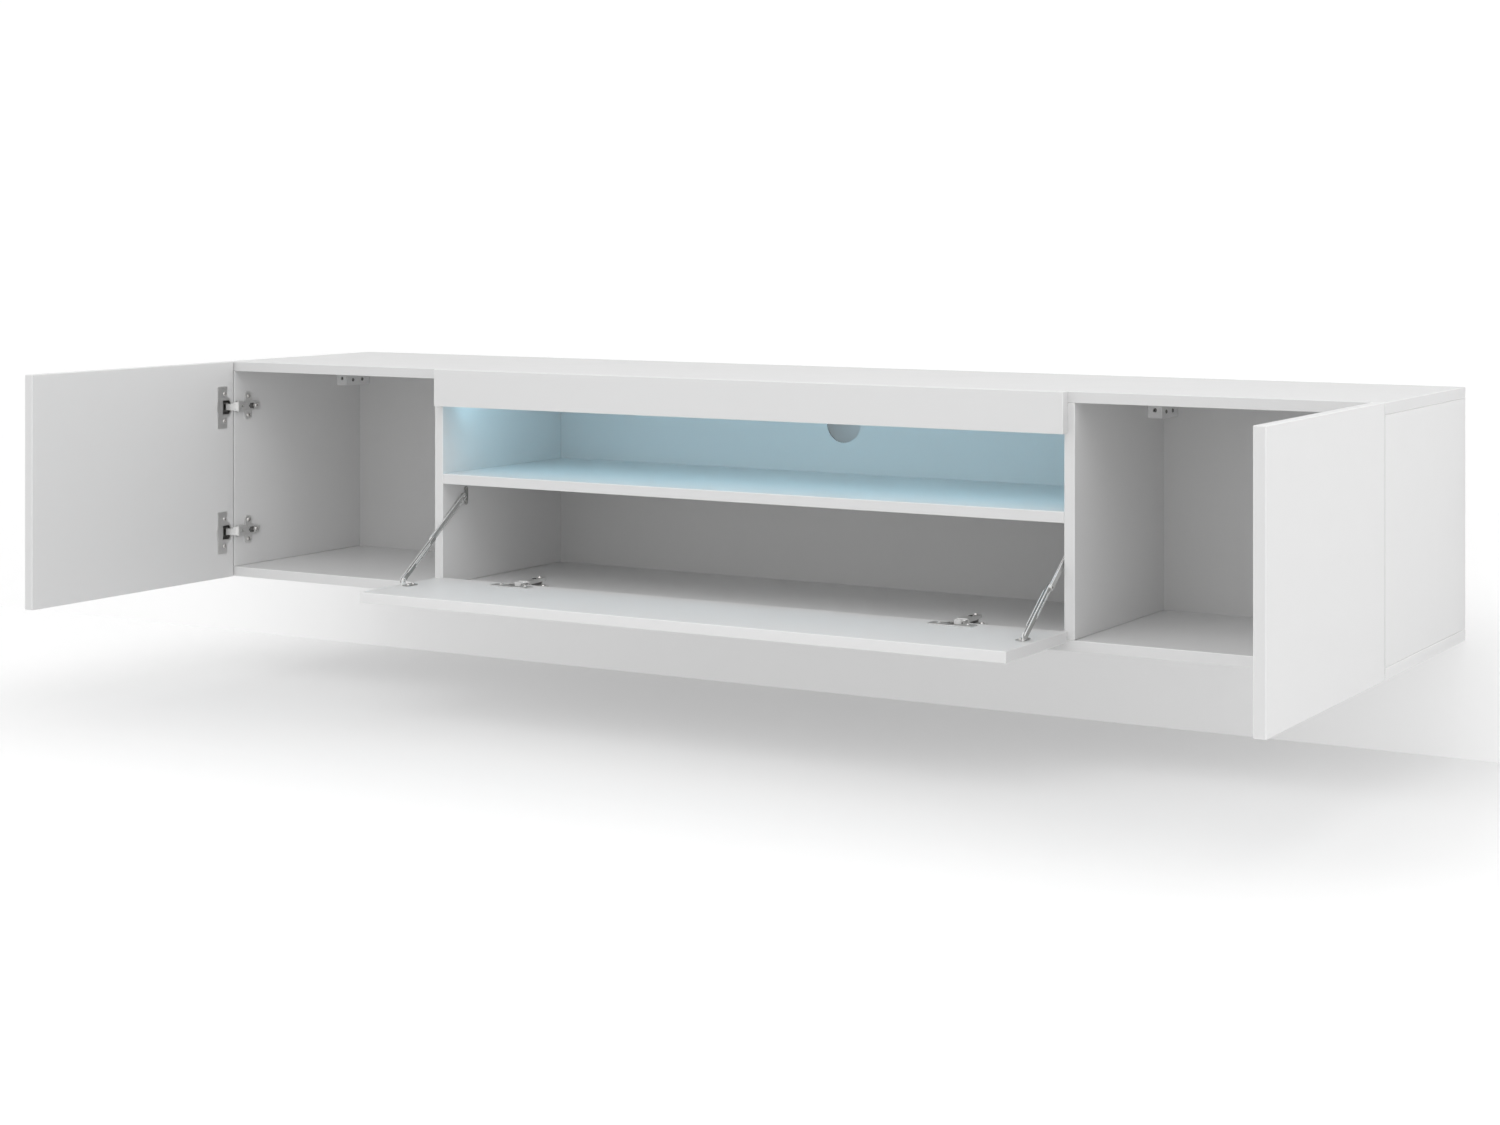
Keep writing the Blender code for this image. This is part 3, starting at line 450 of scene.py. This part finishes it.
def softened(name, body, finish, width=0.0002, others=(), tools=(), smooth=True):
    """A fitting from its CAD solid, with its sharp edges rolled as pressed metal's are.

    Each of the others is a finish and the test that picks its faces by their
    middle. Each tool is cut out of the fitting. A fitting made of flat faces
    alone isn't shaded smooth.
    """
    mesh = nodes[name].data.copy()
    bm = bmesh.new()
    bm.from_mesh(mesh)
    bmesh.ops.remove_doubles(bm, verts=bm.verts, dist=SOLID_WELD)
    bm.to_mesh(mesh)
    bm.free()
    if tools:
        mesh = cut_out(mesh, tools)
    mesh.name = name + "_dressed"
    made = bring_in(name + "_dressed", mesh)
    dress(made, finish)
    if smooth:
        mesh.shade_smooth()
        mesh.set_sharp_from_angle(angle=math.radians(30))
    else:
        mesh.shade_flat()
    for face in mesh.polygons:
        face.material_index = 0
    for index, (other, where) in enumerate(others):
        mesh.materials.append(other)
        for face in mesh.polygons:
            if where(face.center):
                face.material_index = index + 1
    rolled = made.modifiers.new("rolled_edges", "BEVEL")
    rolled.width = width
    rolled.segments = 2
    rolled.limit_method = "ANGLE"
    rolled.angle_limit = math.radians(35)
    rolled.harden_normals = smooth
    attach(made, body)
    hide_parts(name)
    return made


def turned(profile, steps=28):
    """A closed round body about +Z, from (radius, height) points."""
    bm = bmesh.new()
    points = [bm.verts.new((radius, 0, height)) for radius, height in profile]
    geom = points + [bm.edges.new(pair) for pair in zip(points, points[1:])]
    bmesh.ops.spin(bm, geom=geom, cent=(0, 0, 0), axis=(0, 0, 1), angle=2 * math.pi, steps=steps)
    bmesh.ops.remove_doubles(bm, verts=bm.verts, dist=TURNED_WELD)
    bmesh.ops.recalc_face_normals(bm, faces=bm.faces)
    return mesh_from(bm, "turned")


def cross_screw(name, radius, height, finish):
    """A low domed screw head with a cross recess, seated at z = 0."""
    rim = height * 0.35
    profile = [
        (0, -height * 0.3),
        (radius * 0.97, -height * 0.3),
        (radius, rim * 0.4),
        (radius * 0.97, rim),
        (radius * 0.80, height * 0.78),
        (radius * 0.50, height * 0.95),
        (0, height),
    ]
    tools = []
    low_radius, top_radius = radius * 0.62, radius * 0.98
    square = Matrix.Rotation(math.pi / 4, 4, "Z")
    for turn in (0, math.pi / 2):
        bm = bmesh.new()
        bmesh.ops.create_cone(
            bm, cap_ends=True, segments=4, radius1=low_radius, radius2=top_radius, depth=height
        )
        slot = Matrix.Rotation(turn, 4, "Z") @ Matrix.Diagonal((1, 0.24, 1, 1)) @ square
        bmesh.ops.transform(bm, matrix=Matrix.Translation((0, 0, height * 0.85)) @ slot, verts=bm.verts)
        tools.append(mesh_from(bm, "cross"))
    mesh = cut_out(turned(profile), tools)
    mesh.name = name
    mesh.materials.clear()
    mesh.materials.append(finish)
    return mesh


def put(name, mesh, place, normal, roll, body):
    """A small turned piece set on a face, looking along its normal."""
    piece = bring_in(name, mesh)
    facing = Vector(normal).to_track_quat("Z", "Y").to_matrix().to_4x4()
    piece.matrix_world = Matrix.Translation(place) @ facing @ Matrix.Rotation(math.radians(roll), 4, "Z")
    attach(piece, body)
    return piece


screw_finish = metal("nickel_screw", SCREW_LIGHT, SCREW_DARK, 0.16, 0.34, (1, 1, 1), 1400.0)
zinc = metal("zinc_plate", ZINC_LIGHT, ZINC_DARK, 0.40, 0.55, (1, 0.15, 1), 420.0, metallic=0.25)
shaded_nickel = metal("shaded_nickel", SHADED_NICKEL_LIGHT, SHADED_NICKEL_DARK, 0.38, 0.55, (1, 1, 1), 600.0)
# The hanger screws are painted shade, dark as the pockets that the front ones sit in.
hanger_screw = cross_screw("hanger_screw", *HANGER_SCREW, shaded_nickel)
for index, place in enumerate(("left_outer", "left_inner", "right_inner", "right_outer")):
    name = place + "_hanger"
    softened(name, "cabinet", zinc, HANGER_ROUNDING, smooth=False)
    softened(name + "_hook", "cabinet", zinc)
    low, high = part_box(name)
    for step, share in enumerate(HANGER_FRONT_SHARES):
        spot = ((low.x + high.x) / 2, low.y + HANGER_FRONT_SINK, low.z + (high.z - low.z) * share)
        screw = f"{name}_front_screw_{step + 1}"
        put(screw, hanger_screw, spot, (0, -1, 0), 20 + 50 * index, "cabinet")
    into = 1 if place in ("left_outer", "right_inner") else -1
    face = high.x if into > 0 else low.x
    for step, back in enumerate(HANGER_SIDE_BACKS):
        spot = (face, low.y + back, low.z + HANGER_SIDE_UP)
        screw = f"{name}_side_screw_{step + 1}"
        put(screw, hanger_screw, spot, (into, 0, 0), 35 * step, "cabinet")


# Fronts: two doors and the drop-down flap, in the same laminated board with
# all four edges banded. Each rides on its hinges.
# The flap is painted a little whiter than the other boards: painted light on its upturned face.
FLAP_LIT_WHITE = (0.85, 0.85, 0.85)
dress(nodes["left_door"], laminate("left_door", (1, 0, 0)))
dress(nodes["right_door"], laminate("right_door", (1, 0, 0)))
dress(nodes["flap"], laminate("flap", (0, 0, 1), FLAP_LIT_WHITE))


# Cup hinges: nickel-plated pressed steel, two to each front. The cup is sunk
# in the front, the arm clips on a winged plate screwed to the carcass, and a
# link joins them. Cross-head screws hold the cup flange and the plate's wings.
NICKEL_LIGHT = (0.88, 0.878, 0.87)
NICKEL_DARK = (0.74, 0.737, 0.73)
# Near-white, barely metallic nickel: a painted highlight on the arms' necks, the flap's links and the flap
# brackets.
HIGHLIGHT_LIGHT = (0.98, 0.978, 0.97)
HIGHLIGHT_DARK = (0.93, 0.928, 0.92)
# Grey nickel: painted shade on the stays' divider brackets and the flap brackets' feet.
SHADED_GREY_LIGHT = (0.50, 0.498, 0.49)
SHADED_GREY_DARK = (0.40, 0.398, 0.39)
SHADOW_LIGHT = (0.07, 0.069, 0.067)
SHADOW_DARK = (0.03, 0.03, 0.029)
DOOR_HINGE_INSET = 0.076
HINGE_ROUNDING = 0.0003
HINGE_FLANGE_TOP = 0.0175
HINGE_FLANGE_THICK = 0.0026
HINGE_FLANGE_SCREW = (-0.0260, 0.0228)
HINGE_WING_TOP = 0.0181
HINGE_WING_SCREW = (0.032, 0.016)
HINGE_RAIL_STEP = 0.0004
HINGE_ARM_TOP = 0.0245
HINGE_NECK_END = 0.0008
HINGE_CRANK_SHARE = 0.35
ARM_OPENING_START = 0.0285
ARM_OPENING_END = 0.0375
ARM_OPENING_HALF = 0.0048
ARM_OPENING_DEEP = 0.003
ARM_OPENING_WALL = (0.0003, 0.0050)
ARM_OPENING_SLACK = 0.0001
FLAP_ARM_DROP = 0.0036
FLAP_WING_DROP = 0.0078
FLANGE_SCREW = (0.0034, 0.0013)
WING_SCREW = (0.0036, 0.0022)
ARM_SCREW = (0.0033, 0.0019)
# How far back each of the arm's screws stands, how deep, and how large beside the last.
HINGE_ARM_SCREWS = ((0.0105, 0.0012, 0.55), (0.0245, 0.0012, 0.6), (0.0445, 0.0, 1.0))

nickel = metal("nickel_plate", NICKEL_LIGHT, NICKEL_DARK, 0.30, 0.42, (1, 0.3, 1), 1500.0, 0.03)
highlight_nickel = metal(
    "highlight_nickel", HIGHLIGHT_LIGHT, HIGHLIGHT_DARK, 0.22, 0.30, (1, 0.4, 1), 1500.0, 0.01, metallic=0.1
)
shaded_grey_nickel = metal("shaded_grey_nickel", SHADED_GREY_LIGHT, SHADED_GREY_DARK, 0.38, 0.50, (1, 1, 1), 600.0)
shadow_nickel = metal("shadow_nickel", SHADOW_LIGHT, SHADOW_DARK, 0.45, 0.60, (1, 1, 1), 600.0)
flange_screw = cross_screw("flange_screw", *FLANGE_SCREW, screw_finish)
wing_screw = cross_screw("wing_screw", *WING_SCREW, screw_finish)
arm_screw = cross_screw("arm_screw", *ARM_SCREW, screw_finish)
top_low, top_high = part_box("top_panel")
bottom_low, bottom_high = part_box("bottom_panel")
flap_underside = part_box("flap")[0].z
front_y = top_low.y
hinge_frames = []
for place, height in (
    ("bottom", bottom_low.z + DOOR_HINGE_INSET),
    ("top", top_high.z - DOOR_HINGE_INSET),
):
    left = Matrix.Translation((top_low.x, front_y, height))
    right = Matrix.Translation((top_high.x, front_y, height)) @ Matrix.Rotation(math.pi, 4, "Y")
    hinge_frames.append(("left_door_" + place, "left_door", "left_door_links", left, 0.0, 0.0))
    hinge_frames.append(("right_door_" + place, "right_door", "right_door_links", right, 0.0, 0.0))
flap_turn = Matrix(((0, 0, -1, 0), (0, 1, 0, 0), (1, 0, 0, 0), (0, 0, 0, 1)))
for side in ("left", "right"):
    cup_low, cup_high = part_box(f"flap_{side}_cup")
    x = (cup_low.x + cup_high.x) / 2
    place = Matrix.Translation((x, front_y, flap_underside)) @ flap_turn
    hinge_frames.append(("flap_" + side, "flap", "flap_links", place, FLAP_ARM_DROP, FLAP_WING_DROP))


def in_hinge(place, test):
    """A test of a face's middle, made in the hinge's own frame.

    There x rises from the outer face of the board that carries the hinge, y
    runs back from its front edge, and z runs along that edge.
    """
    into_hinge = place.inverted()
    return lambda point: test(into_hinge @ point)


def in_opening(spot, top):
    """Whether a point lies on the walls of the opening in the arm's top."""
    along = ARM_OPENING_START - ARM_OPENING_SLACK < spot.y < ARM_OPENING_END + ARM_OPENING_SLACK
    across = abs(spot.z) < ARM_OPENING_HALF + ARM_OPENING_SLACK
    return along and across and top - ARM_OPENING_WALL[1] < spot.x < top - ARM_OPENING_WALL[0]


def opening_tool(place, top):
    """The block that cuts the opening in the arm's top."""
    bm = bmesh.new()
    bmesh.ops.create_cube(bm, size=1)
    length = ARM_OPENING_END - ARM_OPENING_START
    size = Matrix.Diagonal((ARM_OPENING_DEEP, length, 2 * ARM_OPENING_HALF, 1))
    middle = Matrix.Translation((top, (ARM_OPENING_START + ARM_OPENING_END) / 2, 0))
    bmesh.ops.transform(bm, matrix=place @ middle @ size, verts=bm.verts)
    return mesh_from(bm, "opening")


for index, (name, front, links, place, drop, wing_drop) in enumerate(hinge_frames):
    arm_top = HINGE_ARM_TOP - drop
    wing_top = HINGE_WING_TOP - wing_drop
    crank = drop * HINGE_CRANK_SHARE
    # The cup's inside and the plate's rail are painted shade, the arm's neck carries a painted highlight,
    # and the opening's walls are painted shadow.
    in_cup = in_hinge(place, lambda spot: spot.x < HINGE_FLANGE_TOP - HINGE_FLANGE_THICK)
    on_neck = in_hinge(place, lambda spot: spot.y < HINGE_NECK_END + crank)
    cut = in_hinge(place, lambda spot: in_opening(spot, arm_top))
    on_rail = in_hinge(place, lambda spot: spot.x > wing_top + HINGE_RAIL_STEP)
    softened(name + "_cup", front, nickel, others=[(shaded_nickel, in_cup)])
    # The flap's links carry a painted highlight, and the doors' links are painted shade.
    link = highlight_nickel if front == "flap" else shaded_nickel
    softened(name + "_link", links, link, HINGE_ROUNDING)
    parts = [(highlight_nickel, on_neck), (shadow_nickel, cut)]
    tools = [opening_tool(place, arm_top)]
    softened(name + "_arm", "cabinet", nickel, HINGE_ROUNDING, parts, tools)
    softened(name + "_plate", "cabinet", nickel, HINGE_ROUNDING, [(shaded_nickel, on_rail)])
    outward = place.to_3x3() @ Vector((1, 0, 0))
    for step, way in enumerate((-1, 1)):
        spot = place @ Vector((HINGE_FLANGE_TOP, HINGE_FLANGE_SCREW[0], way * HINGE_FLANGE_SCREW[1]))
        put(f"{name}_cup_screw_{step + 1}", flange_screw, spot, outward, 31 * index + 17 * step, front)
        spot = place @ Vector((wing_top, HINGE_WING_SCREW[0], way * HINGE_WING_SCREW[1]))
        put(f"{name}_wing_screw_{step + 1}", wing_screw, spot, outward, 23 * index + 49 * step, "cabinet")
    for step, (back, sink, size) in enumerate(HINGE_ARM_SCREWS):
        spot = place @ Vector((arm_top - sink, back + (crank if step == 0 else 0.0), 0))
        roll = 40 * step + 11 * index
        made = put(f"{name}_arm_screw_{step + 1}", arm_screw, spot, outward, roll, "cabinet")
        made.scale = (size, size, size)


# Flap stays: two pressed nickel-plated arms on each side, folding at the
# elbow on a hollow eyelet. Round rivets hold them to a bracket on the divider
# and one on the flap, and small screws hold the brackets.
# Painted light on the stays: near-white highlights at the rims and corners, dark shade on the edges, and a
# grey middle of painted shade, darker on the lower arm.
STAY_HIGHLIGHT = (0.98, 0.98, 0.975)
STAY_EDGE_SHADE = (0.16, 0.16, 0.16)
STAY_UPPER_SHADE = (0.55, 0.55, 0.545)
STAY_LOWER_SHADE = (0.42, 0.42, 0.415)
STAY_TOP = (0.0511, 0.1540)
STAY_FOOT = (-0.1105, 0.0365)
STAY_ELBOW_SHARE = 0.5235
STAY_STRIP_THICK = 0.0026
STAY_ARM_END = 0.0048
STAY_RIM_AT = 0.0030
STAY_CORNER = 0.0010
STAY_SLOT_INSET = 0.0108
STAY_SLOT_SHARE = 0.58
STAY_SLOT_RADIUS = 0.0024
STAY_SLOT_CLEAR = 0.001
STAY_SCREW = (0.0031, 0.0015)
PLATE_SCREW_INSET = 0.00425
PLATE_SCREW_SINK = 0.0018
FOOT_TOP = 0.0015
FOOT_SHADE_TOP = 0.0017
FOOT_RIVET_OUT = 0.0015
FOOT_SCREW_OUT = 0.0078
FOOT_SCREW_BACKS = (0.0075, 0.0195)
RIVET_PROFILE = (
    (0, -0.0004),
    (0.0026, -0.0004),
    (0.0026, 0.0003),
    (0.0022, 0.0008),
    (0.0012, 0.0011),
    (0, 0.0012),
)
EYELET_BORE = 0.0016
EYELET_PROFILE = (
    (0, 0.0001),
    (0.0015, 0.0001),
    (0.0017, 0.0007),
    (0.0024, 0.0007),
    (0.0028, 0.0003),
    (0.0028, -0.0004),
    (0, -0.0004),
)

rivet_head = turned(RIVET_PROFILE, 24)
rivet_head.shade_smooth()
rivet_head.materials.append(screw_finish)
eyelet = turned(EYELET_PROFILE, 24)
eyelet.shade_smooth()
eyelet.set_sharp_from_angle(angle=math.radians(35))
eyelet.materials.append(nickel)
eyelet.materials.append(shadow_nickel)
# The eyelet's bore is painted shadow.
for face in eyelet.polygons:
    face.material_index = int(face.center.xy.length < EYELET_BORE)
stay_screw = cross_screw("stay_screw", *STAY_SCREW, screw_finish)
stay_top = Vector((0, front_y + STAY_TOP[0], bottom_low.z + STAY_TOP[1]))
stay_foot = Vector((0, front_y + STAY_FOOT[0], bottom_low.z + STAY_FOOT[1]))
stay_elbow = stay_top.lerp(stay_foot, STAY_ELBOW_SHARE)


def stay_finish(name, middle, highlight_start, near, far):
    """Rolled strip along the stay, its light painted: grey painted shade down its middle, painted
    highlights at its rims, painted shade on its edge.

    The upper rim's highlight runs the whole way, and the lower one starts a share of the way up from the
    foot. The edge has a painted highlight at its two corners, which lie at the near and far distances from
    the cabinet's middle.
    """
    made, tree, shader = principled(name, 0.34, 0.5)
    along = (stay_top - stay_foot).normalized()
    across = Vector((0, -along.z, along.y))
    coordinates = add(tree, "ShaderNodeTexCoord").outputs
    from_foot = vector_calc(tree, "SUBTRACT", coordinates["Object"], stay_foot)
    off = reach(tree, from_foot, across)
    up = reach(tree, from_foot, along)
    on_edge = calc(tree, "GREATER_THAN", reach(tree, coordinates["Normal"], across), 0.7)
    sideways = add(tree, "ShaderNodeSeparateXYZ", {0: coordinates["Object"]}).outputs[0]
    sideways = calc(tree, "ABSOLUTE", sideways)
    near_corner = calc(tree, "LESS_THAN", sideways, near + STAY_CORNER)
    corner_highlights = calc(tree, "MAXIMUM", near_corner, calc(tree, "GREATER_THAN", sideways, far - STAY_CORNER))
    upper_highlight = calc(tree, "GREATER_THAN", off, STAY_RIM_AT)
    lower_highlight = calc(tree, "LESS_THAN", off, -STAY_RIM_AT)
    start = (stay_top - stay_foot).length * highlight_start
    lower_highlight = calc(tree, "MULTIPLY", lower_highlight, calc(tree, "GREATER_THAN", up, start))
    rim_highlights = calc(tree, "MAXIMUM", upper_highlight, lower_highlight)
    lines = add(tree, "ShaderNodeGroup", node_tree=drawn_group)
    lines.inputs["Line Scale"].default_value = 1500.0
    lines.inputs["Stretch"].default_value = (1, 0.3, 0.3)
    grain = spread(tree, lines.outputs["Lines"], 0.0, 0.25)
    tone = blend_colour(tree, grain, middle, tuple(0.8 * part for part in middle))
    tone = blend_colour(tree, rim_highlights, tone, STAY_HIGHLIGHT)
    tone = blend_colour(tree, on_edge, tone, blend_colour(tree, corner_highlights, STAY_EDGE_SHADE, STAY_HIGHLIGHT))
    tree.links.new(tone, shader.inputs["Base Color"])
    tree.links.new(spread(tree, lines.outputs["Lines"], 0.28, 0.40), shader.inputs["Roughness"])
    relief(tree, shader, lines.outputs["Lines"], 0.02, LINE_DEPTH)
    return made


def slot_tool(low_x, high_x):
    """The round-ended bar that cuts the slot along the lower arm, below the elbow."""
    along = (stay_elbow - stay_foot).normalized()
    last = stay_elbow - along * STAY_SLOT_INSET
    room = (stay_elbow - stay_foot).length - 2 * STAY_SLOT_INSET
    first = last - along * room * STAY_SLOT_SHARE
    start_angle = math.atan2(along.z, along.y) + math.pi / 2
    outline = []
    for centre, turn in ((first, 0), (last, math.pi)):
        for step in range(9):
            angle = start_angle + turn + math.pi * step / 8
            outline.append(centre + Vector((0, math.cos(angle), math.sin(angle))) * STAY_SLOT_RADIUS)
    bm = bmesh.new()
    near = [bm.verts.new((low_x, point.y, point.z)) for point in outline]
    far = [bm.verts.new((high_x, point.y, point.z)) for point in outline]
    bm.faces.new(near)
    bm.faces.new(far)
    for step in range(len(outline)):
        after = (step + 1) % len(outline)
        bm.faces.new((near[step], near[after], far[after], far[step]))
    bmesh.ops.recalc_face_normals(bm, faces=bm.faces)
    return mesh_from(bm, "slot")


low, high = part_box("right_stay_upper_arm")
upper_finish = stay_finish("stay_upper_nickel", STAY_UPPER_SHADE, 0.9, low.x, high.x)
low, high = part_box("right_stay_lower_arm")
lower_finish = stay_finish("stay_lower_nickel", STAY_LOWER_SHADE, 0.18, low.x, high.x)
# The way each stay faces, and which corner of a box is its side near the divider.
for side, way, near, far in (("left", 1, 0, 1), ("right", -1, 1, 0)):
    name = side + "_stay"
    plate, upper, lower, foot = (
        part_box(f"{name}_{part}") for part in ("divider_bracket", "upper_arm", "lower_arm", "flap_bracket")
    )
    # The divider bracket is painted shade.
    softened(name + "_divider_bracket", "cabinet", shaded_grey_nickel)
    softened(name + "_upper_arm", name + "_upper", upper_finish)
    bar = slot_tool(lower[0].x - STAY_SLOT_CLEAR, lower[1].x + STAY_SLOT_CLEAR)
    softened(name + "_lower_arm", name + "_lower", lower_finish, tools=[bar])
    spot = (lower[near].x + way * STAY_STRIP_THICK, stay_elbow.y, stay_elbow.z)
    put(name + "_elbow_eyelet", eyelet, spot, (way, 0, 0), 0, name + "_lower")
    spot = (upper[near].x, stay_elbow.y, stay_elbow.z)
    put(name + "_elbow_head", eyelet, spot, (-way, 0, 0), 0, name + "_upper")
    # The flap bracket carries a painted highlight, and its foot is painted shade.
    on_foot = [(shaded_grey_nickel, lambda point: point.z < foot[0].z + FOOT_SHADE_TOP)]
    softened(name + "_flap_bracket", "flap", highlight_nickel, others=on_foot)
    plate_x = plate[far].x - way * PLATE_SCREW_SINK
    for step, height in enumerate((plate[0].z + PLATE_SCREW_INSET, plate[1].z - PLATE_SCREW_INSET)):
        spot = (plate_x, plate[1].y - PLATE_SCREW_INSET, height)
        put(f"{name}_bracket_screw_{step + 1}", stay_screw, spot, (way, 0, 0), 25 + 40 * step, "cabinet")
    spot = (upper[far].x, upper[1].y - STAY_ARM_END, upper[1].z - STAY_ARM_END)
    put(name + "_top_rivet", rivet_head, spot, (way, 0, 0), 0, name + "_upper")
    foot_x = foot[near].x
    spot = (foot_x + way * FOOT_RIVET_OUT, foot[0].y + STAY_ARM_END, lower[0].z + STAY_ARM_END)
    put(name + "_foot_rivet", rivet_head, spot, (way, 0, 0), 0, "flap")
    for step, back in enumerate(FOOT_SCREW_BACKS):
        spot = (foot_x + way * FOOT_SCREW_OUT, foot[0].y + back, foot[0].z + FOOT_TOP)
        put(f"{name}_foot_screw_{step + 1}", stay_screw, spot, (0, 0, 1), 15 + 55 * step, "flap")


# Room: a plain white floor and wall, seen only from their front, so that the
# cabinet can be looked at from behind and below. They keep its soft shadow, and
# hold painted shadow and shade in their glow under and behind it.
FLOOR_DROP = 0.170
ROOM_HALF = 10
FLOOR_MIDDLE = -7
WALL_GAP = 0.0006
FLOOR_SKIN = 0.0002
UNDER_ACROSS = (0.9, 1.5)
UNDER_HEIGHT = (-0.03, 0.10)
UNDER_DEPTH = (0.55, 1.25)
BEHIND_ACROSS = (0.975, 0.985)
ROOM_WHITE = (0.90, 0.90, 0.90)
ROOM_SHADE = (0.58, 0.58, 0.58)
OPEN_GLOW = (0.53, 0.53, 0.53)
# Fainter glow under the cabinet: painted shadow.
UNDER_SHADOW_GLOW = (0.35, 0.35, 0.35)
WALL_SHADOW_GLOW = (0.42, 0.42, 0.42)
# Dark blue-grey glow on the wall behind the cabinet: painted shade, tinted with painted blue light of the
# strip.
BEHIND_SHADE_GLOW = (0.06, 0.10, 0.13)
BACK_LIGHT = (0.50, 0.50, 0.50)
NO_GLOW = (0.0, 0.0, 0.0)
floor_z = bottom_low.z - FLOOR_DROP


def seen_plainly(tree):
    """1 for what the camera sees straight, mirrored or through something clear."""
    path = add(tree, "ShaderNodeLightPath").outputs
    seen = calc(tree, "MAXIMUM", path["Is Camera Ray"], path["Is Glossy Ray"])
    return calc(tree, "MAXIMUM", seen, path["Is Transmission Ray"])


def all_of(tree, first, *others):
    """1 where every mask is 1."""
    for mask in others:
        first = calc(tree, "MULTIPLY", first, mask)
    return first


def room_finish():
    """White from the front, with its own glow for the camera, and clear from behind.

    The glow is cut back under the cabinet as painted shadow, and behind it as painted shade, tinted by a
    painted blue light of the strip. The patch of wall that the cabinet covers lights the cabinet's back,
    for the views from behind.
    """
    made, tree, shader = principled("room_white", 0.9)
    shader.inputs["Specular IOR Level"].default_value = 0.0
    shader.inputs["Emission Strength"].default_value = 1.0
    seen = seen_plainly(tree)
    tree.links.new(blend_colour(tree, seen, ROOM_WHITE, ROOM_SHADE), shader.inputs["Base Color"])
    place = add(tree, "ShaderNodeTexCoord").outputs["Object"]
    across, depth, height = add(tree, "ShaderNodeSeparateXYZ", {0: place}).outputs
    across = calc(tree, "ABSOLUTE", across)
    painted_shadow = all_of(
        tree,
        fade(tree, across, *UNDER_ACROSS),
        fade(tree, height, *UNDER_HEIGHT),
        fade(tree, calc(tree, "ABSOLUTE", depth), *UNDER_DEPTH),
    )
    on_wall = calc(tree, "GREATER_THAN", height, floor_z + FLOOR_SKIN)
    shade = blend_colour(tree, on_wall, UNDER_SHADOW_GLOW, WALL_SHADOW_GLOW)
    glow = blend_colour(tree, painted_shadow, OPEN_GLOW, shade)
    shade_behind = all_of(
        tree,
        fade(tree, across, *BEHIND_ACROSS),
        on_wall,
        calc(tree, "GREATER_THAN", height, bottom_high.z),
        calc(tree, "LESS_THAN", height, top_low.z),
    )
    glow = blend_colour(tree, shade_behind, glow, BEHIND_SHADE_GLOW)
    covered = all_of(
        tree,
        calc(tree, "LESS_THAN", across, top_high.x),
        on_wall,
        calc(tree, "GREATER_THAN", height, bottom_low.z),
        calc(tree, "LESS_THAN", height, top_high.z),
    )
    given = blend_colour(tree, covered, NO_GLOW, BACK_LIGHT)
    tree.links.new(blend_colour(tree, seen, given, glow), shader.inputs["Emission Color"])
    clear = add(tree, "ShaderNodeBsdfTransparent")
    behind = add(tree, "ShaderNodeNewGeometry").outputs["Backfacing"]
    mix = add(tree, "ShaderNodeMixShader", {0: behind, 1: shader.outputs[0], 2: clear.outputs[0]})
    tree.links.new(mix.outputs[0], tree.nodes["Material Output"].inputs["Surface"])
    return made


room = room_finish()
for name, turn, place in (
    ("floor", Matrix.Identity(4), (0, FLOOR_MIDDLE, floor_z)),
    ("wall", Matrix.Rotation(math.pi / 2, 4, "X"), (0, WALL_GAP, ROOM_HALF + floor_z)),
):
    bm = bmesh.new()
    bmesh.ops.create_grid(bm, x_segments=1, y_segments=1, size=ROOM_HALF)
    bmesh.ops.transform(bm, matrix=Matrix.Translation(place) @ turn, verts=bm.verts)
    made = bring_in(name, mesh_from(bm, name))
    dress(made, room)


# Light: an even white sky, plain white to the camera and in reflections, a
# broad soft lamp above the front for the shadow under the cabinet, and a
# smaller one at the right that lights the cabinet's end and the open door.
SKY_STRENGTH = 0.80
PLAIN_STRENGTH = 1.0
world = bpy.data.worlds.new("sky")
scene.world = world
world.use_nodes = True
sky = world.node_tree
sky.nodes.clear()
seen = seen_plainly(sky)
light = add(sky, "ShaderNodeBackground", {"Color": (1, 1, 1, 1), "Strength": SKY_STRENGTH})
plain = add(sky, "ShaderNodeBackground", {"Color": (1, 1, 1, 1), "Strength": PLAIN_STRENGTH})
both = add(sky, "ShaderNodeMixShader", {0: seen, 1: light.outputs[0], 2: plain.outputs[0]})
add(sky, "ShaderNodeOutputWorld", {0: both.outputs[0]})

for name, place, aim, width, depth, power in (
    ("front_lamp", (0.3, -2.2, 2.6), (0, -0.25, 0.1), 3.6, 1.8, 18.5),
    ("side_lamp", (3.5, -1.0, 1.3), (0.9, -0.5, 0.2), 1.6, 1.6, 11.0),
):
    turn = (Vector(aim) - Vector(place)).to_track_quat("-Z", "Y").to_euler()
    broad_lamp(name, place, turn, width, depth, power)
